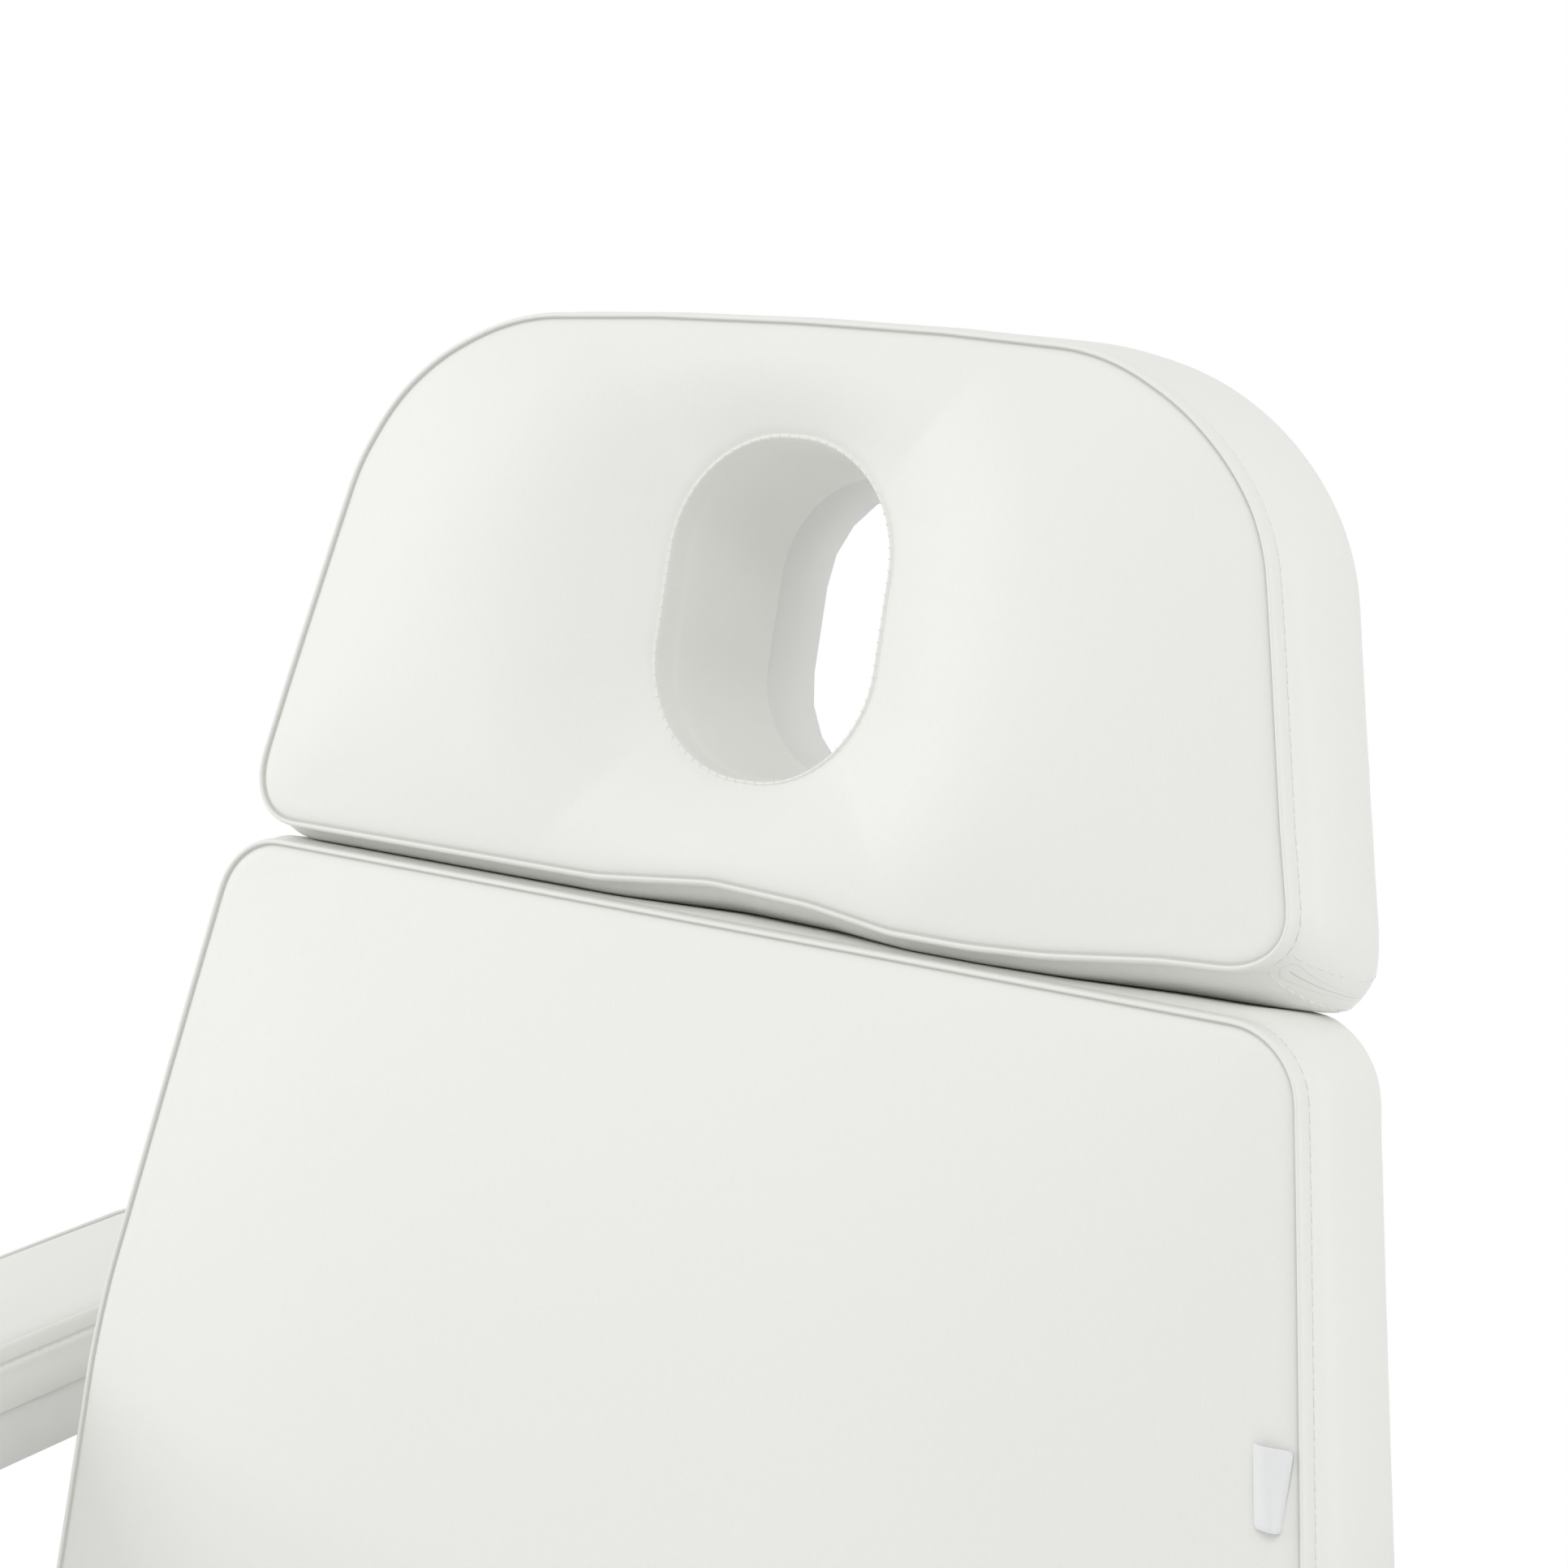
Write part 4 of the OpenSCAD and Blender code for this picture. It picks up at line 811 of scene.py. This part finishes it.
def plywood():
    finish = Finish("birch_plywood", (0.66, 0.49, 0.30), 0.6)
    grain = finish.attribute("grain")
    depth = finish.node("ShaderNodeSeparateXYZ", inputs={0: grain}, output=2)
    plies = finish.node("ShaderNodeMath", {"operation": "PINGPONG"}, {0: depth, 1: 0.0014}) * 700
    warp = finish.noise(finish.stretched(grain, (1, 0.12, 1)), 26, 3)
    figure = finish.noise(finish.stretched(grain, (1, 0.04, 1)), 260, 4, 0.65)
    finish.set("Base Color", finish.mix(0.35 * plies + 0.45 * figure + 0.3 * warp, (0.74, 0.58, 0.38),
                                        (0.50, 0.34, 0.19)))
    finish.set("Roughness", 0.5 + 0.2 * figure)
    finish.relief(figure, 0.0002, 0.5)
    return finish.material


def moulded(name, color, darker, roughness):
    finish = Finish(name, color, roughness)
    place, wear = finish.place(), finish.attribute("wear", "Fac")
    spark = finish.noise(place, 2200, 2)
    broad = finish.noise(place, 25, 3)
    finish.set("Base Color", finish.mix(0.4 * broad + 0.3 * wear, color, darker))
    finish.set("Roughness", roughness + 0.14 * (broad - 0.5) - 0.08 * wear)
    finish.relief(spark, 0.00008, 0.5)
    return finish.material


def rubber():
    finish = Finish("black_rubber", (0.035, 0.035, 0.037), 0.72)
    place = finish.place()
    scuffs = finish.noise(finish.stretched(place, (1, 0.3, 1)), 70, 4, 0.7)
    finish.set("Base Color", finish.mix(scuffs.ramp(0.5, 0.8), (0.03, 0.03, 0.032), (0.10, 0.10, 0.098)))
    finish.set("Roughness", 0.62 + 0.2 * scuffs)
    finish.relief(finish.noise(place, 900, 2), 0.0001, 0.5)
    return finish.material


def tape():
    finish = Finish("white_label_tape", (0.86, 0.865, 0.875), 0.8)
    grain = finish.attribute("grain")
    warp = finish.node("ShaderNodeTexWave", {"bands_direction": "X"}, {"Vector": grain, "Scale": 700})
    weft = finish.node("ShaderNodeTexWave", {"bands_direction": "Y"}, {"Vector": grain, "Scale": 700})
    finish.set("Base Color", finish.mix(0.3 * warp * weft, (0.87, 0.875, 0.885), (0.76, 0.77, 0.79)))
    finish.relief(warp + weft, 0.00006, 0.5)
    return finish.material


def thread():
    finish = Finish("white_polyester_thread", (0.90, 0.90, 0.885), 0.5)
    twist = finish.noise(finish.place(), 3500, 1)
    finish.set("Base Color", finish.mix(twist, (0.93, 0.93, 0.915), (0.82, 0.82, 0.80)))
    finish.relief(twist, 0.0001, 0.6)
    return finish.material


FINISHES = {
    "white_leather": leather(), "white_paint": painted(), "chrome": chromed(), "zinc_steel": plated(),
    "plywood": plywood(), "rubber": rubber(), "white_fabric": tape(), "thread": thread(),
    "white_shell": moulded("white_moulded_shell", (0.83, 0.835, 0.815), (0.74, 0.745, 0.72), 0.40),
    "grey_plastic": moulded("grey_moulded_grip", (0.14, 0.145, 0.15), (0.23, 0.235, 0.24), 0.48),
}

# %% [markdown]
# ## Dressing the cushions
#
# The sewn cover becomes an object, is carried to its place on the chair, and
# gets one step of subdivision for its curves. It rides on its own body, and
# stands for the CAD solid that holds its space.

# %% Cushions on their bodies
RIDES = {
    "headrest": ("headrest", "headrest_pad", 0.85), "backrest": ("backrest", "back_pad", 0.85),
    "seat": ("seat", "seat_pad", 0.85), "leg_rest": ("legrest", "leg_pad", 0.85),
    "armrest_left": ("armrest_left", "armrest_pad_left", 0.8),
    "armrest_right": ("armrest_right", "armrest_pad_right", 0.8),
}


def as_object(bm, name, slot, section=None):
    """Makes a smooth mesh object of a bmesh, in place, with its finish."""
    if section:
        bm.transform(SECTIONS[section])
    for face in bm.faces:
        face.smooth = True
    mesh = bpy.data.meshes.new(name)
    bm.to_mesh(mesh)
    obj = placed(name, mesh)
    mesh.materials.append(FINISHES[slot])
    return obj


def smoothed(obj):
    step = obj.modifiers.new("smooth", "SUBSURF")
    step.levels = step.render_levels = 1
    step.use_limit_surface = False
    return obj


def places_of(ring):
    return np.array([tuple(v.co) for v in ring])


def beside_corner(band, column):
    """A line down the band where the smoothed cover will lie, averaged with its neighbours."""
    return np.array([tuple(ring[column - 1].co * 0.2 + ring[column].co * 0.6 + ring[column + 1].co * 0.2)
                     for ring in band])


for cushion in cushions.values():
    body, node, fill = RIDES[cushion.name]
    cushion.groove_path = places_of(cushion.rings["outer"][STITCH_RING])
    cushion.rim_path = places_of(cushion.rings["rim"]) if cushion.hole else None
    band = cushion.rings["outer"][len(LIP_OUTER):len(LIP_OUTER) + len(BAND_DEPTHS)]
    cushion.corner_paths = [
        (beside_corner(band, column + beside), np.array([(*cushion.out[column], 0)] * len(band)))
        for column in cushion.corner_columns for beside in (-1, 1)]
    cover = smoothed(as_object(cushion.bm, cushion.name + "_leather", "white_leather", cushion.section))
    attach(cover, body)
    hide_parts(node)

# %% [markdown]
# ## Stitches
#
# A topstitch is a row of short threads, each dipping into the leather at both
# ends: a stretched ball with few faces, half sunk in the groove, and repeated
# at the machine's pitch. Round the face hole the stitches lie across the rim,
# and a seam that closes a corner of the band has a row on each side.

# %% Rows of stitches
PITCH, THREAD_LENGTH, THREAD_RADIUS = 0.0060, 0.0042, 0.00042
RIM_PITCH, RIM_THREAD_LENGTH, RIM_THREAD_RADIUS = 0.0048, 0.0022, 0.0003
LOOK_BESIDE, FLATNESS = 0.002, 0.8
ball = bmesh.new()
bmesh.ops.create_uvsphere(ball, u_segments=6, v_segments=4, radius=1)
one_stitch = bpy.data.meshes.new("one_stitch")
ball.to_mesh(one_stitch)


def closed(table):
    return np.vstack([table, table[:1]])


def stitch_row(bm, path, outward, pitch, length, radius, across=False, lift=0.0):
    """Adds a stitch to the bmesh every pitch along a path of points."""
    travelled = np.concatenate([[0], np.cumsum(np.linalg.norm(np.diff(path, axis=0), axis=1))])
    count = round(travelled[-1] / pitch)
    for k in range(count):
        at = (k + 0.5) * travelled[-1] / count
        point, before, after, out = (
            Vector([np.interp(t, travelled, table[:, axis]) for axis in range(3)])
            for t, table in ((at, path), (at - LOOK_BESIDE, path), (at + LOOK_BESIDE, path), (at, outward)))
        run = (after - before).normalized()
        out = (out - run * out.dot(run)).normalized()
        side = run.cross(out)
        long, wide = (side, run) if across else (run, side)
        place = Matrix((wide * radius, out * radius * FLATNESS, long * length / 2)).transposed().to_4x4()
        place.translation = point + out * lift
        stitch = one_stitch.copy()
        stitch.transform(place)
        bm.from_mesh(stitch)
        bpy.data.meshes.remove(stitch)
    return count


for cushion in cushions.values():
    bm = bmesh.new()
    flat_out = np.column_stack([cushion.out, np.zeros(len(cushion.out))])
    count = stitch_row(bm, closed(cushion.groove_path), closed(flat_out), PITCH, THREAD_LENGTH,
                       THREAD_RADIUS, lift=0.0003)
    for path, out in cushion.corner_paths:
        count += stitch_row(bm, path, out, PITCH, THREAD_LENGTH, THREAD_RADIUS, lift=0.0002)
    if cushion.hole:
        upward = np.column_stack([-cushion.rim_out * 0.4, np.ones(len(cushion.rim_out))])
        count += stitch_row(bm, closed(cushion.rim_path), closed(upward), RIM_PITCH, RIM_THREAD_LENGTH,
                            RIM_THREAD_RADIUS, across=True, lift=0.0001)
    stitches = as_object(bm, cushion.name + "_stitches", "thread", cushion.section)
    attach(stitches, RIDES[cushion.name][0])
    print(cushion.name, count, "stitches")

# %% [markdown]
# ## The care tag
#
# A short piece of woven tape, folded in half and caught in the backrest's
# seam. It rises from the seam to a slanting bend, and its fold comes down on
# the panel. It stays blank.

# %% A folded tape
TAG_LENGTH, TAG_THICK, TAG_STEPS, TAG_ROOT = 0.030, 0.0007, 8, 0.0045
TAG_UPPER = [(0.002, -0.0014), (-0.002, 0.0012), (-0.006, 0.0032), (-0.009, 0.0043), (-0.0112, 0.0036),
             (-0.0135, 0.0018)]
TAG_LOWER = [(0.002, -0.0014), (0.0014, 0.001), (0.0006, 0.0032), (-0.0016, 0.0043), (-0.0048, 0.0034),
             (-0.0082, 0.0018)]


def folded_tape():
    """The tape's section at its upper end turns into the one at its lower end."""
    low, high = node_span("care_tag", "back")
    bm = bmesh.new()
    grain = bm.verts.layers.float_vector.new("grain")
    rows = []
    for k in range(TAG_STEPS + 1):
        share = k / TAG_STEPS
        start = Vector((high[0] - TAG_ROOT, high[1] - share * TAG_LENGTH, low[2]))
        section = np.array(TAG_UPPER) * (1 - share) + np.array(TAG_LOWER) * share
        rows.append([bm.verts.new(start + Vector((x, 0, z))) for x, z in section])
    for one, other in zip(rows, rows[1:]):
        for k in range(len(one) - 1):
            bm.faces.new((one[k], one[k + 1], other[k + 1], other[k]))
    for v in bm.verts:
        v[grain] = v.co
    bmesh.ops.recalc_face_normals(bm, faces=bm.faces[:])
    bmesh.ops.solidify(bm, geom=bm.faces[:], thickness=TAG_THICK)
    return as_object(bm, "blank_tag", "white_fabric", "back")


tag = smoothed(folded_tape())
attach(tag, "backrest")
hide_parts("care_tag")

# %% [markdown]
# ## The metal, wood and plastic pieces
#
# Their shapes are the frame's. A real edge is never sharp, so each is copied,
# its triangles are merged into faces, and every edge that turns sharply gets a
# small bevel that can catch the light. The corners of those bevels' faces carry
# the wear that the paints and metals show.

# %% Softened copies of the CAD pieces
EDGE_SOFTNESS = 0.0007
SHARP = math.radians(32)
SECTION_OF_BODY = {"backrest": "back", "carriage": "back", "headrest": "head", "legrest": "leg"}
SLOT_OF_NODE = {part["node"]: part["material_slot"] for part in frame["record"]["subparts"]}


def soft_copy(node, body, slot):
    """A copy of a CAD piece with merged faces, softened edges and its finish."""
    bm = bmesh.new()
    bm.from_mesh(frame["nodes"][node].data)
    bmesh.ops.remove_doubles(bm, verts=bm.verts, dist=1e-5)
    bmesh.ops.dissolve_limit(bm, angle_limit=math.radians(0.5), verts=bm.verts, edges=bm.edges)
    sharp = [e for e in bm.edges if len(e.link_faces) == 2 and e.calc_face_angle(0) > SHARP]
    wear = bm.loops.layers.float.new("wear")
    grain = bm.verts.layers.float_vector.new("grain")
    softened = bmesh.ops.bevel(bm, geom=sharp, offset=EDGE_SOFTNESS, offset_type="OFFSET", segments=2,
                               profile=0.5, affect="EDGES", clamp_overlap=True, material=-1)
    inverse = SECTIONS[SECTION_OF_BODY.get(body, "seat")].inverted()
    for face in softened["faces"]:
        for loop in face.loops:
            loop[wear] = 1.0
    for v in bm.verts:
        v[grain] = inverse @ v.co
    copy = as_object(bm, node + "_finished", slot)
    copy.data.set_sharp_from_angle(angle=SHARP)
    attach(copy, body)
    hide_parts(node)


soft_nodes = {node for _, node, _ in RIDES.values()} | {"care_tag"}
for body, members in frame["record"]["behaviour"]["bodies"].items():
    for node in members:
        if node not in soft_nodes:
            soft_copy(node, body, SLOT_OF_NODE[node])
print(len(frame["nodes"]) - len(soft_nodes), "pieces softened")

# %% [markdown]
# ## Camera, floor and light
#
# The photograph was taken with a long lens, from above the chair's left front,
# so close that only the headrest, half the backrest and part of an armrest
# are in it. The light came from all round, as in a white tent, which is why
# its shadows are faint. A white world does that, and three large soft lamps
# give the slow changes of tone across the leather: one at the picture's left,
# one at its right behind the panel's plane, which only the bands catch, and
# one above.

# %% The camera
AZIMUTH, LOOK_DOWN, LENS = math.radians(35.05), math.radians(12.87), 74.3
SEAM_MEETING = SECTIONS["back"] @ Vector((0, 0.525, 0))
CAMERA_ARM = Vector((0.759, -1.027, 0.347))
camera_data = bpy.data.cameras.new("camera")
camera_data.lens, camera_data.sensor_width, camera_data.sensor_fit = LENS, 36.0, "HORIZONTAL"
camera_data.clip_end = 100
camera = placed("camera", camera_data)
camera.location = SEAM_MEETING + CAMERA_ARM
camera.rotation_euler = (math.pi / 2 - LOOK_DOWN, 0, AZIMUTH)
bpy.context.scene.camera = camera


# %% World, lamps and floor
def looked_past(tree):
    """A node that gives 1 where the camera, a reflection or a clear view meets the studio."""
    rays, first, seen = (tree.nodes.new(kind) for kind in
                         ("ShaderNodeLightPath", "ShaderNodeMath", "ShaderNodeMath"))
    first.operation = seen.operation = "MAXIMUM"
    tree.links.new(rays.outputs["Is Camera Ray"], first.inputs[0])
    tree.links.new(rays.outputs["Is Glossy Ray"], first.inputs[1])
    tree.links.new(first.outputs[0], seen.inputs[0])
    tree.links.new(rays.outputs["Is Transmission Ray"], seen.inputs[1])
    return seen


def mix_into(tree, share, first, second, output):
    """Two shaders, mixed by a share, as the tree's output."""
    mix, out = tree.nodes.new("ShaderNodeMixShader"), tree.nodes.new(output)
    for k, node in enumerate((share, first, second)):
        tree.links.new(node.outputs[0], mix.inputs[k])
    tree.links.new(mix.outputs[0], out.inputs[0])


def white_world(light):
    """Even light on the object, and white where the camera or a shiny surface looks past it."""
    world = bpy.data.worlds.new("studio")
    world.use_nodes = True
    tree = world.node_tree
    tree.nodes.clear()
    seen = looked_past(tree)
    even, plain = (tree.nodes.new("ShaderNodeBackground") for _ in range(2))
    for background, strength in ((even, light), (plain, 1.0)):
        background.inputs["Color"].default_value = (1, 1, 1, 1)
        background.inputs["Strength"].default_value = strength
    mix_into(tree, seen, even, plain, "ShaderNodeOutputWorld")
    bpy.context.scene.world = world


def lamp(name, place, target, size, power):
    data = bpy.data.lights.new(name, "AREA")
    data.shape, data.energy = "RECTANGLE", power
    data.size, data.size_y = size
    obj = placed(name, data)
    obj.location = place
    obj.rotation_euler = (Vector(target) - Vector(place)).to_track_quat("-Z", "Y").to_euler()


def pale_floor():
    """A wide floor that keeps the object's shadow and runs out into white."""
    bm = bmesh.new()
    bmesh.ops.create_circle(bm, cap_ends=True, segments=64, radius=FLOOR_RADIUS)
    mesh = bpy.data.meshes.new("floor")
    bm.to_mesh(mesh)
    obj = placed("floor", mesh)
    material = bpy.data.materials.new("studio_floor")
    material.use_nodes = True
    tree = material.node_tree
    tree.nodes.clear()
    matt, glow = tree.nodes.new("ShaderNodeBsdfDiffuse"), tree.nodes.new("ShaderNodeEmission")
    matt.inputs["Color"].default_value = (0.92, 0.92, 0.92, 1)
    glow.inputs["Color"].default_value = (1, 1, 1, 1)
    seen = looked_past(tree)
    place, far = tree.nodes.new("ShaderNodeTexCoord"), tree.nodes.new("ShaderNodeVectorMath")
    far.operation = "LENGTH"
    tree.links.new(place.outputs["Object"], far.inputs[0])
    fade = tree.nodes.new("ShaderNodeMapRange")
    fade.interpolation_type = "SMOOTHSTEP"
    for socket, value in zip(("From Min", "From Max", "To Min", "To Max"), FLOOR_FADE):
        fade.inputs[socket].default_value = value
    tree.links.new(far.outputs["Value"], fade.inputs["Value"])
    share = tree.nodes.new("ShaderNodeMath")
    share.operation = "MULTIPLY"
    tree.links.new(seen.outputs[0], share.inputs[0])
    tree.links.new(fade.outputs[0], share.inputs[1])
    mix_into(tree, share, matt, glow, "ShaderNodeOutputMaterial")
    mesh.materials.append(material)


FLOOR_RADIUS = 90
FLOOR_FADE = (0.7, 1.9, 0.45, 1.0)
WORLD_LIGHT = 0.69
bpy.context.scene.view_settings.view_transform = "Standard"
white_world(WORLD_LIGHT)
lamp("key", (-2.9, -1.2, 1.9), (0, 0.3, 1.0), (1.4, 1.8), 24)
lamp("side", (2.8, 1.1, 1.4), (0, 0.3, 0.9), (0.9, 1.8), 11)
lamp("above", (0.9, -1.4, 3.5), (0, 0.3, 1.0), (1.6, 1.2), 19)
pale_floor()
